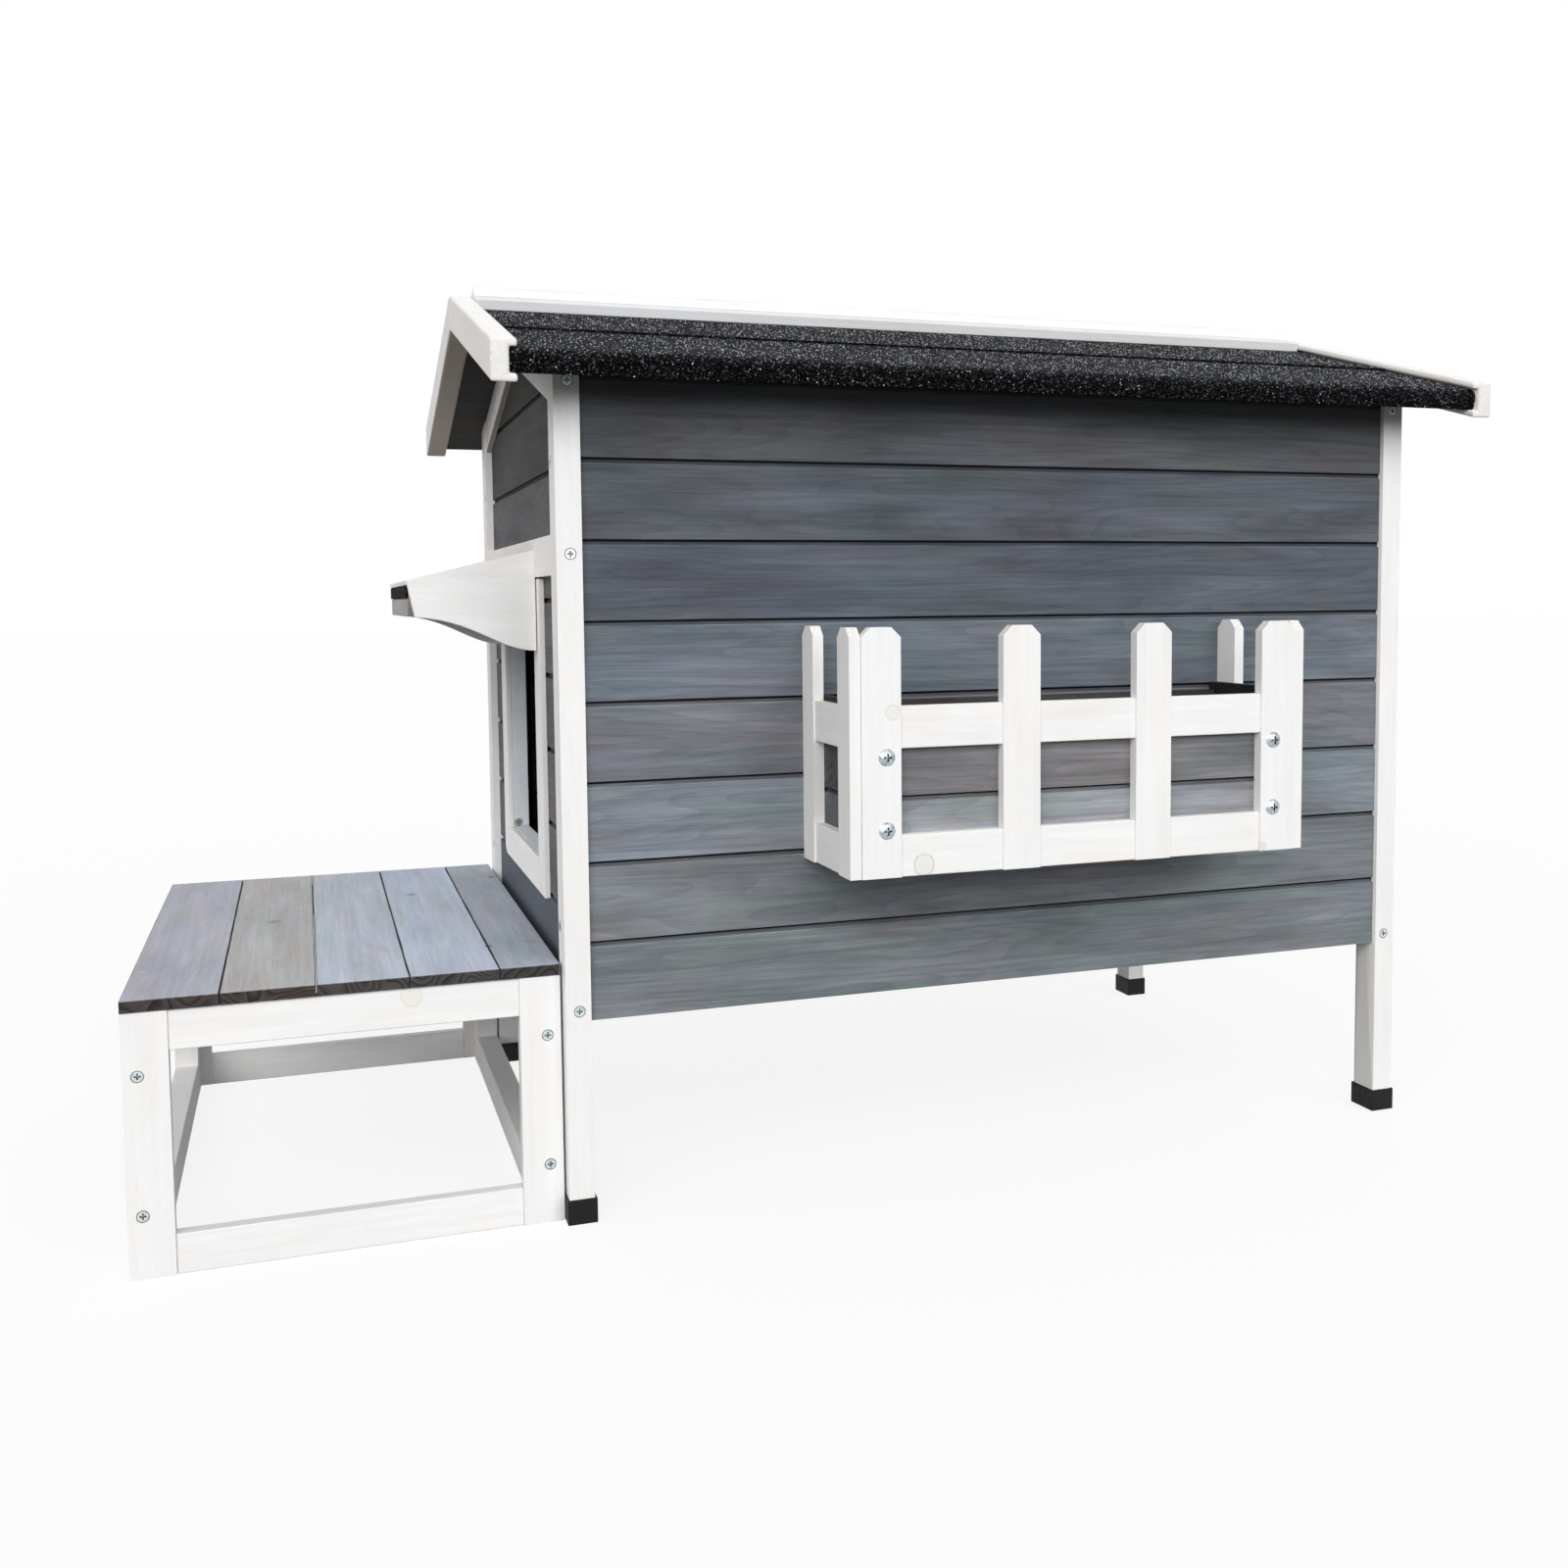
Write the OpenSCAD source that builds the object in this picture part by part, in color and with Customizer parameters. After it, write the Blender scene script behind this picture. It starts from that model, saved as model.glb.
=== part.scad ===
// Elevated cat house on four legs, with a separate step stool at its door and a picket flower box.
// The front long wall faces -Y, the door gable and the step are on the -X side, +Z is up.
// Shapes are drawn about the middle of the house. The origin is on the ground, under the middle
// of the whole object's box, so in_frame() moves every piece there.

/* [House body] */
// Length of the house over its corner posts
house_len = 936; // [700:1:1200]
// Depth of the house over its corner posts
house_dep = 560; // [440:1:700]
// Height of the corner posts at their outer face
eave_h = 798; // [740:1:900]
// Slope of both roof faces, in degrees
roof_slope = 16.4; // [12:0.1:22]
// Height of the bottom of the walls above the ground
wall_bottom = 192; // [120:1:240]
// Width of a corner post, seen from the long side
post_w = 24; // [20:1:36]
// Depth of a corner post, seen from the gable
post_d = 32; // [28:1:44]

/* [Rubber feet] */
// Height of a foot cap
cap_h = 24; // [14:1:40]
// Wall and sole thickness of a foot cap
cap_t = 2.2; // [1.5:0.1:4]

/* [Wall boards] */
// Thickness of every matched board
board_t = 10; // [8:0.5:14]
// Height that one long wall board covers
board_pitch = 75; // [50:1:120]
// Height that one gable board covers
gable_pitch = 74; // [50:1:120]
// Height that the first board over the cross rail of the door gable covers
gable_top_first = 74; // [50:1:80]
// Height that each board above that one covers
gable_top_pitch = 80; // [80:1:120]
// Height of the recessed strip that shows under each board
board_reveal = 5; // [2:0.5:8]
// Thickness of a board's tongue
tongue_t = 5; // [3:0.5:6]
// Height of a tongue inside its groove
tongue_rise = 6; // [3:0.5:8]
// Distance of the long wall boards behind the faces of the posts
wall_inset = 5; // [1:0.5:8]
// Distance of the gable boards behind the faces of the posts
gable_inset = 8; // [7:0.5:12]
// Height of the plain kick board under the door
kick_h = 100.5; // [60:0.5:110]

/* [Inner frame] */
// Width of the battens and rails inside the walls
batten_w = 25; // [18:1:36]
// Thickness of the battens and rails inside the walls
batten_t = 17; // [12:0.5:24]
// Width of a floor bearer
bearer_w = 38; // [30:1:60]
// Height of a floor bearer
bearer_h = 25; // [18:1:40]
// Thickness of the floor panel
floor_t = 10; // [6:0.5:18]

/* [Gable trims] */
// Thickness of the rafters and of the cross rail
trim_t = 17; // [14:0.5:22]
// Distance of the trims behind the faces of the posts
trim_inset = 1; // [0:0.5:3]
// Depth of a rafter, square to the roof
rafter_depth = 36; // [26:1:50]
// Height of the lower edge of the cross rail over the door
cross_rail_z = 609.5; // [602:0.5:640]
// Height of the cross rail
cross_rail_h = 38; // [30:0.5:60]
// Length of board that laps behind a trim
trim_lap = 10; // [6:0.5:12]

/* [Door] */
// Clear width of the door opening
door_w = 230; // [160:1:300]
// Height of the sill above the ground
door_z = 322; // [312:1:350]
// Clear height of the door opening
door_h = 248; // [180:1:250]
// Width of the white face frame round the door
face_w = 38; // [25:0.5:44]
// Depth of the face frame below the sill
sill_face_h = 35.5; // [25:0.5:44]
// Thickness of the face frame on the boards
face_t = 6; // [4:0.5:7]
// Thickness of the lining boards in the opening
liner_t = 12; // [8:0.5:18]
// Depth of the lining boards behind the face frame
liner_d = 17.5; // [12:0.5:30]

/* [Awning] */
// Width over both awning brackets
awning_w = 282; // [240:1:340]
// Thickness of an awning bracket
bracket_t = 11; // [8:0.5:16]
// Reach of the awning from the gable
awning_reach = 125; // [90:1:180]
// Height of the top of the awning at the gable
awning_top_z = 637; // [615:1:645]
// Height of the top of the awning at its front
awning_front_z = 606.8; // [590:0.2:612]
// Height of the bracket at the gable
bracket_h = 101; // [80:1:130]
// Height of the bracket at its front
bracket_front_h = 36; // [30:1:60]
// Thickness of the awning board
awning_board_t = 10; // [6:0.5:14]
// Height of the bracket edges above the felt
awning_edge = 5; // [2:0.5:8]
// Height of the grey strip under the front of the awning
fascia_h = 18; // [10:0.5:22]

/* [Roof] */
// Distance of the bargeboards' outer faces beyond the posts
roof_side_over = 63; // [45:1:110]
// Distance of the eaves beyond the posts
roof_eave_over = 63; // [45:1:110]
// Thickness of a roof panel
panel_t = 18.5; // [12:0.5:24]
// Thickness of the roofing felt
felt_t = 2; // [1:0.25:4]
// Radius of the rounded eave edge of a roof panel
eave_r = 9; // [4:0.5:11]
// Distance from the outer face of the posts to the edge of the upper felt strip
felt_edge_in = 90; // [60:1:160]
// Length by which the upper felt strip laps the lower one
felt_lap = 40; // [20:1:60]
// Thickness of a bargeboard behind its lips
barge_t = 16.5; // [10:0.5:24]
// Depth of a bargeboard's lips
barge_lip = 7; // [4:0.5:12]
// Thickness of a bargeboard's lips
barge_lip_t = 6.5; // [4:0.5:10]
// Width of the front ridge board
ridge_front_w = 38; // [32:1:60]
// Width of the back ridge board, most of which laps over the ridge
ridge_back_w = 60; // [50:1:80]
// Length by which the back ridge board passes the ridge
ridge_lap = 27; // [20:1:30]
// Thickness of the ridge boards
ridge_t = 11; // [8:0.5:11]

/* [Roof hinges and stay] */
// Distance of each hinge from the middle of the house
hinge_x = 300; // [150:1:340]
// Length of a hinge
hinge_len = 75; // [60:1:110]
// Height of a hinge leaf
leaf_w = 25; // [18:1:30]
// Thickness of a hinge leaf
leaf_t = 2; // [1:0.25:2.5]
// Radius of a hinge knuckle
knuckle_r = 4; // [3.5:0.25:6]
// Radius of a hinge pin
pin_r = 2; // [1.5:0.1:2.5]
// Length of the roof stay, from its pivot to its foot
stay_len = 315; // [240:1:330]
// Width of the roof stay
stay_w = 14; // [10:0.5:20]
// Thickness of the roof stay
stay_t = 3; // [2:0.25:4]
// Distance of the stay's pivot from the front face of the posts
stay_in = 144; // [136:1:180]

/* [Step stool] */
// Gap between the stool and the posts
step_gap = 2.6; // [2.6:0.1:60]
// Width of the stool, away from the house
step_w = 378; // [300:1:500]
// Length of the stool, along the gable
step_len = 566; // [400:1:700]
// Distance of the stool's front end behind the front face of the posts
step_in = 13; // [0:1:60]
// Height of the stool's top
step_h = 247.1; // [200:0.1:300]
// Thickness of the stool's planks
plank_t = 11.3; // [8:0.1:20]
// Width of a full plank
plank_w = 80.3; // [60:0.1:110]
// Gap between the planks
plank_gap = 0.4; // [0.4:0.1:6]
// Width of a stile in the stool's end frames
stile_w = 38; // [28:0.5:50]
// Thickness of the stool's end frames
stile_t = 15; // [12:0.5:22]
// Height of the stool's rails
step_rail_h = 36; // [24:0.5:50]
// Width of the legs and rails in the stool's sides
side_leg_w = 25; // [18:0.5:27]
// Depth of the legs in the stool's sides
side_leg_d = 37; // [28:0.5:50]
// Setback of the end rails behind the stiles
rail_setback = 1.5; // [0.5:0.25:3]

/* [Flower box] */
// Distance of the box's left edge from the outer face of the left posts
box_left = 237; // [60:1:300]
// Length of the flower box over its side panels
box_len = 479; // [360:1:600]
// Reach of the flower box in front of the posts
box_reach = 127; // [100:1:180]
// Height of the bottom of the flower box
box_z = 333; // [260:1:420]
// Height of the pickets
picket_h = 226.5; // [160:0.5:260]
// Width of a front picket
picket_w = 38; // [28:0.5:50]
// Width of a side picket
side_picket_w = 31; // [22:0.5:40]
// Setback of the side pickets' edges behind the front pickets
side_picket_in = 1.5; // [0:0.25:3]
// Thickness of the pickets
picket_t = 11; // [8:0.5:16]
// Number of front pickets
picket_n = 4; // [3:1:5]
// Size of the cut corners on top of a picket
picket_cut = 9; // [4:0.5:10]
// Height of the flower box's rails
box_rail_h = 38.5; // [25:0.5:45]
// Setback of the rails behind the faces of the pickets
box_rail_setback = 2; // [1:0.25:4]
// Distance from the bottom of the box to the underside of its upper rails
upper_rail_up = 117; // [90:1:140]
// Distance from the bottom of the box to the top of the trough's sides
trough_h = 160; // [110:1:200]
// Distance by which the trough's front and back end below its sides
trough_drop = 8; // [2:1:20]
// Height of one trough board
trough_pitch = 73; // [50:1:90]

/* [Fasteners] */
// Radius of a wood screw's head
screw_head_r = 4.75; // [3.5:0.25:5.5]
// Radius of a wood screw's shank
screw_r = 2; // [1.5:0.1:2.2]
// Length of the screws in the posts
post_screw_len = 45; // [40:1:46]
// Length of the screws in the stool
step_screw_len = 35; // [25:1:45]
// Radius of a flower box screw's round head
pan_head_r = 8; // [4:0.2:8]
// Height of a flower box screw's round head
pan_head_h = 3.5; // [2:0.25:5]
// Length of a hinge screw
hinge_screw_len = 12; // [8:0.5:15]

/* [Hidden] */
$fn = 48;

// Clearance between the tongue of one board and the groove of the next
groove_gap = 0.4;
// Gap that keeps neighbouring pieces of one group apart
piece_gap = 0.2;
// Clearance round a screw, and round a post in its foot cap
fit_gap = 0.05;
// Clearance between the closed roof and what it rests on
lid_gap = 0.3;

white = "white";
grey_wood = "slategray";
grey_dark = "dimgray";
step_grey = "lightslategray";
felt_black = "#1d1e20";
raw_wood = "burlywood";
rubber_black = "#101010";
steel = "silver";

half_len = house_len / 2;
half_dep = house_dep / 2;
slope_tan = tan(roof_slope);
slope_cos = cos(roof_slope);
slope_sin = sin(roof_slope);
// Height of the ridge line of the panels' undersides
ridge_z = eave_h + half_dep * slope_tan;

// Height of the roof's underside at a distance y from the middle
function roof_under(y) = ridge_z - abs(y) * slope_tan;

// Faces of the walls, measured from the middle of the house
wall_y = half_dep - wall_inset;
wall_in_y = wall_y - board_t;
gable_x = half_len - gable_inset;
gable_in_x = gable_x - board_t;
trim_x = half_len - trim_inset;
post_in_x = half_len - post_w;
post_in_y = half_dep - post_d;
corner_in_y = wall_in_y - batten_t;
corner_in_x = gable_in_x - batten_t;
// The gable's upright batten stands clear of the long wall's
corner_clear = max(piece_gap, post_in_y - corner_in_y + piece_gap);
wall_top = eave_h - 2 * lid_gap;
floor_z = wall_bottom + bearer_h;

// Door openings: the hole in the boards goes round the lining
liner_top = door_z + door_h + liner_t;
liner_bottom = door_z - liner_t;
liner_half = door_w / 2 + liner_t;
face_half = door_w / 2 + face_w;
face_bottom = door_z - sill_face_h;
face_x = gable_x + face_t;
cross_rail_top = cross_rail_z + cross_rail_h;
// The door's boards stop where the cross rail's rabbets end
lower_board_top = cross_rail_z + trim_lap;
upper_board_bottom = cross_rail_top - trim_lap;
frame_gap = 1.5;
face_top = cross_rail_z - frame_gap;
chamfer_w = 12;
chamfer_h = 8;

// Awning, measured from the gable trim's face
awning_x = trim_x;
awning_slope = atan((awning_top_z - awning_front_z) / awning_reach);
bracket_half = awning_w / 2;
bracket_nose = 7.3;
bracket_dip = 4;
bracket_low_z = awning_top_z - bracket_h;
bracket_front_low_z = awning_front_z - bracket_front_h;
curve_steps = 14;
awning_inner = bracket_half - bracket_t;
awning_nose_x = -awning_x - awning_reach;
fascia_in = 1;
awning_felt_d = awning_edge + felt_t;
awning_wrap_z = awning_front_z - awning_edge - awning_board_t - felt_t;

// Roof, in the plane of a slope: s runs down from the ridge, v is square to the underside
eave_y = half_dep + roof_eave_over;
barge_x = half_len + roof_side_over;
barge_in_x = barge_x - barge_t;
lip_in_x = barge_in_x - barge_lip;
slot_h = panel_t + 2 * felt_t;
barge_top_v = slot_h + barge_lip_t;
ridge_base_v = panel_t + felt_t;
eave_s = eave_y / slope_cos;
// The felt's eave ends just inside the plumb cut of the bargeboards
eave_back = 1.5;
panel_s = eave_s - eave_back - felt_t - slot_h * slope_tan;
felt_edge_s = (half_dep - felt_edge_in) / slope_cos;
felt_step = 4;

// Hinge axis, on the back wall under the eave
hinge_y = wall_y + knuckle_r;
hinge_drop = knuckle_r + lid_gap;
hinge_z = roof_under(hinge_y) - hinge_drop / slope_cos;
hinge_s = hinge_y / slope_cos + hinge_drop * slope_tan;
knuckle_n = 3;
knuckle_gap = 0.4;
hinge_screw_n = 3;
hinge_screw_r = 1.6;
hinge_head_r = 3;
pin_head_r = 3.2;
pin_head_h = 1.5;

// Roof stay, hanging from a block under the front slope by the right gable
stay_y = -(half_dep - stay_in);
stay_clear = 12;
stay_x1 = corner_in_x - stay_clear;
stay_block_w = 18;
stay_block_d = 30;
stay_drop = 14;
stay_z = roof_under(stay_y) - stay_drop;
stay_pin_r = 2.5;
stay_side_gap = 0.3;
stay_head_h = 2.5;

// Step stool
step_x1 = -half_len - step_gap;
step_x0 = step_x1 - step_w;
step_y0 = -half_dep + step_in;
step_y1 = step_y0 + step_len;
step_setback = 1;
frame_y0 = step_y0 + step_setback;
frame_y1 = step_y1 - step_setback;
frame_top = step_h - plank_t;
full_planks = floor((step_w - plank_gap) / (plank_w + plank_gap));
last_plank = step_w - full_planks * (plank_w + plank_gap);
step_screw_in = 20;
step_screw_low = step_rail_h + step_screw_in;
step_screw_high = frame_top - step_rail_h - step_screw_in;

// Flower box
box_x0 = -half_len + box_left;
box_x1 = box_x0 + box_len;
box_in_x0 = box_x0 + picket_t;
box_in_x1 = box_x1 - picket_t;
box_y = -half_dep - box_reach;
box_back_y = -wall_y;
picket_back_y = box_y + picket_t;
rail_t = picket_t - box_rail_setback;
box_top = box_z + picket_h;
trough_top = box_z + trough_h;
trough_y = picket_back_y;
picket_step = (box_in_x1 - box_in_x0 - picket_w) / (picket_n - 1);
box_screw_in = 24;
box_screw_r = 2.4;
box_screw_len = 19;
box_screw_point = 4;
box_screw_low = 43;
box_screw_high = 109.5;

// Places of the screws in the posts
post_screw_low = 11;
post_screw_side_low = 88;
post_screw_side_high = 522;
rafter_screw_down = 22;
side_screw_in = wall_inset + board_t + batten_t / 2;
end_screw_x = gable_x - board_t / 2;

// The whole object's box, which sets the origin
box_min_x = step_x0;
box_max_x = barge_x;
box_min_y = box_y - pan_head_h;
box_max_y = eave_y;

// Moves a piece from the middle of the house to the middle of the whole object's box
module in_frame() {
    translate([-(box_min_x + box_max_x) / 2, -(box_min_y + box_max_y) / 2, 0])
        children();
}

// A block between two opposite corners
module block(low, high) {
    translate(low)
        cube(high - low);
}

// Extrudes a (y, z) outline along X
module along_x(x0, x1) {
    translate([x0, 0, 0])
        rotate([90, 0, 90])
            linear_extrude(x1 - x0)
                children();
}

// Extrudes an (x, z) outline along Y
module along_y(y0, y1) {
    translate([0, y1, 0])
        rotate([90, 0, 0])
            linear_extrude(y1 - y0)
                children();
}

// Section of a matched board: depth from its outer face, and height
module board_section(h, grooved, tongued) {
    a = (board_t - tongue_t) / 2;
    b = (board_t + tongue_t) / 2;
    c = groove_gap;
    bottom = grooved
        ? [[0, 0], [a - c, 0], [a - c, tongue_rise + c], [b + c, tongue_rise + c], [b + c, 0], [board_t, 0]]
        : [[0, 0], [board_t, 0]];
    top = tongued
        ? [[board_t, h - board_reveal], [b, h - board_reveal], [b, h + tongue_rise],
           [a, h + tongue_rise], [a, h - board_reveal], [0, h - board_reveal]]
        : [[board_t, h], [0, h]];
    polygon(concat(bottom, top));
}

// Sections of a stack of matched boards from z0 up to z1
module board_stack(z0, z1, pitch) {
    n = max(1, floor((z1 - z0) / pitch));
    for (i = [0 : n - 1]) {
        z = z0 + i * pitch;
        h = i < n - 1 ? pitch : z1 - z;
        translate([0, z])
            board_section(h, i > 0, i < n - 1);
    }
}

// A wood screw, its flat head's top at the origin and its point down
module wood_screw(head_r, r, len, grow = 0) {
    head_h = (head_r - r) * 0.9;
    tip = 2 * r;
    rotate_extrude()
        polygon([
            [0, 0], [head_r + grow, 0], [head_r + grow, -0.6 - grow], [r + grow, -0.6 - head_h - grow],
            [r + grow, -len + tip - grow], [0, -len - grow]
        ]);
}

// Cross shaped recess in a screw's head
module cross_recess(r, depth) {
    slot_w = r * 0.28;
    for (a = [0, 90])
        rotate([0, 0, a])
            translate([-r * 0.6, -slot_w / 2, -depth])
                cube([r * 1.2, slot_w, depth + 1]);
}

module cross_screw(head_r, r, len) {
    difference() {
        wood_screw(head_r, r, len);
        cross_recess(head_r, 1.4);
    }
}

// Puts a screw or its hole at each place where the posts are screwed to the walls
module at_post_screws() {
    for (sx = [-1, 1])
        for (sy = [-1, 1]) {
            end_z = [
                wall_bottom + post_screw_low,
                roof_under(post_in_y) - rafter_screw_down
            ];
            rail_z = sx < 0 ? [cross_rail_z + cross_rail_h / 2] : [];
            for (z = concat(end_z, rail_z))
                translate([sx * end_screw_x, sy * half_dep, z])
                    rotate([-sy * 90, 0, 0])
                        children();
            for (z = [wall_bottom + post_screw_side_low, wall_bottom + post_screw_side_high])
                translate([sx * half_len, sy * (half_dep - side_screw_in), z])
                    rotate([0, sx * 90, 0])
                        children();
        }
}

// Cuts the post screws' holes out of a piece
module post_drilled() {
    difference() {
        children();
        at_post_screws()
            wood_screw(screw_head_r, screw_r, post_screw_len, fit_gap);
    }
}

module house_screws() {
    color(steel)
        in_frame()
            at_post_screws()
                cross_screw(screw_head_r, screw_r, post_screw_len);
}

// Corner post, cut to the roof's slope and standing in its foot cap
module post(sx, sy) {
    color(white)
        in_frame()
            post_drilled()
                mirror([sx > 0 ? 1 : 0, 0, 0])
                    mirror([0, sy > 0 ? 1 : 0, 0])
                        along_x(-half_len, -post_in_x)
                            polygon([
                                [-half_dep, cap_t], [-post_in_y, cap_t],
                                [-post_in_y, roof_under(post_in_y) - lid_gap],
                                [-half_dep, roof_under(half_dep) - lid_gap]
                            ]);
}
module post_front_left() { post(-1, -1); }
module post_front_right() { post(1, -1); }
module post_back_left() { post(-1, 1); }
module post_back_right() { post(1, 1); }

module rubber_feet() {
    g = fit_gap;
    color(rubber_black)
        in_frame()
            for (sx = [0, 1])
                for (sy = [0, 1])
                    mirror([sx, 0, 0])
                        mirror([0, sy, 0])
                            difference() {
                                block([-half_len - cap_t, -half_dep - cap_t, 0],
                                      [-post_in_x + cap_t, -post_in_y + cap_t, cap_h]);
                                block([-half_len - g, -half_dep - g, cap_t],
                                      [-post_in_x + g, -post_in_y + g, cap_h + 1]);
                            }
}

// Boards of a long wall, between the posts
module long_wall() {
    color(grey_wood)
        along_x(-post_in_x, post_in_x)
            translate([-wall_y, 0])
                board_stack(wall_bottom, wall_top, board_pitch);
}

module front_wall_boards() {
    in_frame()
        long_wall();
}

module back_wall_boards() {
    in_frame()
        difference() {
            mirror([0, 1, 0])
                long_wall();
            at_hinge_screws(false)
                wood_screw(hinge_head_r, hinge_screw_r, hinge_screw_len, fit_gap);
        }
}

// Upright battens behind the boards, two in each corner
module corner_battens() {
    gable_batten_top = roof_under(post_in_y) - rafter_depth / slope_cos - 2 * lid_gap;
    color(raw_wood)
        in_frame()
            post_drilled()
                for (sx = [0, 1])
                    for (sy = [0, 1])
                        mirror([sx, 0, 0])
                            mirror([0, sy, 0]) {
                                block([-post_in_x, -wall_in_y, wall_bottom],
                                      [-post_in_x + batten_w, -corner_in_y, wall_top]);
                                block([-gable_in_x, -post_in_y + corner_clear, wall_bottom],
                                      [-corner_in_x, -post_in_y + batten_w, gable_batten_top]);
                            }
}
// Rails along the top of the long walls, between the upright battens
module wall_top_rails() {
    rail_x = post_in_x - batten_w;
    color(raw_wood)
        in_frame()
            difference() {
                for (sy = [0, 1])
                    mirror([0, sy, 0])
                        block([-rail_x, -wall_in_y, wall_top - batten_w],
                              [rail_x, -corner_in_y, wall_top]);
                at_hinge_screws(false)
                    wood_screw(hinge_head_r, hinge_screw_r, hinge_screw_len, fit_gap);
            }
}

// Bearers along both long walls and two joists between them
module floor_bearers() {
    bearer_x = post_in_x - batten_w;
    bearer_in_y = wall_in_y - bearer_w;
    joist_x = house_len / 6;
    color(raw_wood)
        in_frame() {
            for (sy = [0, 1])
                mirror([0, sy, 0])
                    block([-bearer_x, -wall_in_y, wall_bottom], [bearer_x, -bearer_in_y, floor_z]);
            for (x = [-joist_x, joist_x])
                block([x - bearer_w / 2, -bearer_in_y + piece_gap, wall_bottom],
                      [x + bearer_w / 2, bearer_in_y - piece_gap, floor_z]);
        }
}

module floor_panel() {
    edge_y = min(corner_in_y, post_in_y);
    color(raw_wood)
        in_frame()
            difference() {
                block([-gable_in_x + piece_gap, -edge_y + piece_gap, floor_z],
                      [gable_in_x - piece_gap, edge_y - piece_gap, floor_z + floor_t]);
                for (sx = [0, 1])
                    for (sy = [0, 1])
                        mirror([sx, 0, 0])
                            mirror([0, sy, 0])
                                block([-gable_in_x - 1, -half_dep, floor_z - 1],
                                      [-corner_in_x + piece_gap, -post_in_y + batten_w + piece_gap,
                                       floor_z + floor_t + 1]);
            }
}

// Outline of a gable between the posts, below a line v under the roof
module gable_outline(z0, v) {
    y = post_in_y;
    drop = v / slope_cos;
    polygon([[-y, z0], [y, z0], [y, roof_under(y) - drop], [0, ridge_z - drop], [-y, roof_under(y) - drop]]);
}

module gable_boards(z0, pitch) {
    along_y(-post_in_y, post_in_y)
        translate([-gable_x, 0])
            board_stack(z0, ridge_z, pitch);
}

module door_gable_kick_board() {
    color(grey_dark)
        in_frame()
            post_drilled()
                along_y(-post_in_y, post_in_y)
                    translate([-gable_x, wall_bottom])
                        board_section(kick_h, false, true);
}

// Boards beside the door, notched round its lining
module door_gable_boards() {
    z0 = wall_bottom + kick_h;
    rows = floor((lower_board_top - z0) / gable_pitch);
    // The row that holds the top of the lining is cut away between the jambs
    cut_top = max(liner_top, z0 + rows * gable_pitch - board_reveal);
    color(grey_wood)
        in_frame()
            difference() {
                along_y(-post_in_y, post_in_y)
                    translate([-gable_x, 0]) {
                        for (i = [0 : rows])
                            translate([0, z0 + i * gable_pitch])
                                board_section(
                                    i < rows ? gable_pitch : lower_board_top - z0 - rows * gable_pitch,
                                    true, i < rows);
                    }
                block([-gable_x - 1, -liner_half - piece_gap, liner_bottom - piece_gap],
                      [
                          -gable_in_x + 1,
                          liner_half + piece_gap,
                          cut_top + piece_gap + tongue_rise + board_reveal
                      ]);
            }
}

module door_gable_top_boards() {
    color(grey_wood)
        in_frame()
            intersection() {
                gable_boards(upper_board_bottom + gable_top_first - gable_top_pitch, gable_top_pitch);
                along_x(-gable_x - 1, -gable_in_x + 1)
                    gable_outline(upper_board_bottom, rafter_depth - trim_lap + lid_gap);
            }
}

module right_gable_boards() {
    color(grey_wood)
        in_frame()
            post_drilled()
                mirror([1, 0, 0])
                    intersection() {
                        gable_boards(wall_bottom, gable_pitch);
                        along_x(-gable_x - 1, -gable_in_x + 1)
                            gable_outline(wall_bottom - 1, rafter_depth - trim_lap + lid_gap);
                    }
}

// Pair of rafters of one gable, rabbeted for the ends of the boards
module rafters() {
    difference() {
        along_x(-trim_x, -trim_x + trim_t)
            difference() {
                gable_outline(eave_h - half_dep, lid_gap);
                gable_outline(eave_h - half_dep - 1, rafter_depth);
                translate([-piece_gap / 2, 0])
                    square([piece_gap, 2 * ridge_z]);
            }
        along_x(-gable_x - piece_gap / 2, -trim_x + trim_t + 1)
            gable_outline(eave_h - half_dep - 1, rafter_depth - trim_lap);
    }
}

module door_gable_rafters() {
    color(white)
        in_frame()
            post_drilled()
                rafters();
}

module right_gable_rafters() {
    color(white)
        in_frame()
            post_drilled()
                mirror([1, 0, 0])
                    rafters();
}

// Cross rail over the door, rabbeted above and below for the boards
module door_gable_cross_rail() {
    y = post_in_y;
    rabbet_x0 = -gable_x - piece_gap / 2;
    rabbet_x1 = -trim_x + trim_t + 1;
    color(white)
        in_frame()
            post_drilled()
                difference() {
                    block([-trim_x, -y, cross_rail_z], [-trim_x + trim_t, y, cross_rail_top]);
                    block([rabbet_x0, -y - 1, cross_rail_z - 1],
                          [rabbet_x1, y + 1, lower_board_top + piece_gap]);
                    block([rabbet_x0, -y - 1, upper_board_bottom - piece_gap],
                          [rabbet_x1, y + 1, cross_rail_top + 1]);
                }
}

// Stile of the face frame round the door, standing on the -Y side
module door_stile(bottom_cut) {
    y0 = -face_half;
    y1 = -door_w / 2;
    along_x(-face_x, -gable_x)
        polygon(bottom_cut
            ? [[y0 + chamfer_w, face_bottom], [y1, face_bottom], [y1, face_top], [y0, face_top],
               [y0, face_bottom + chamfer_h]]
            : [[y0, face_bottom], [y1, face_bottom], [y1, face_top], [y0, face_top]]);
}

module door_stile_front() {
    color(white)
        in_frame()
            door_stile(false);
}

module door_stile_back() {
    color(white)
        in_frame()
            mirror([0, 1, 0])
                door_stile(true);
}

module door_head() {
    color(white)
        in_frame()
            block([-face_x, -door_w / 2, door_z + door_h], [-gable_x, door_w / 2, face_top]);
}

module door_sill() {
    color(white)
        in_frame()
            block([-face_x, -door_w / 2, face_bottom], [-gable_x, door_w / 2, door_z]);
}

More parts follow.
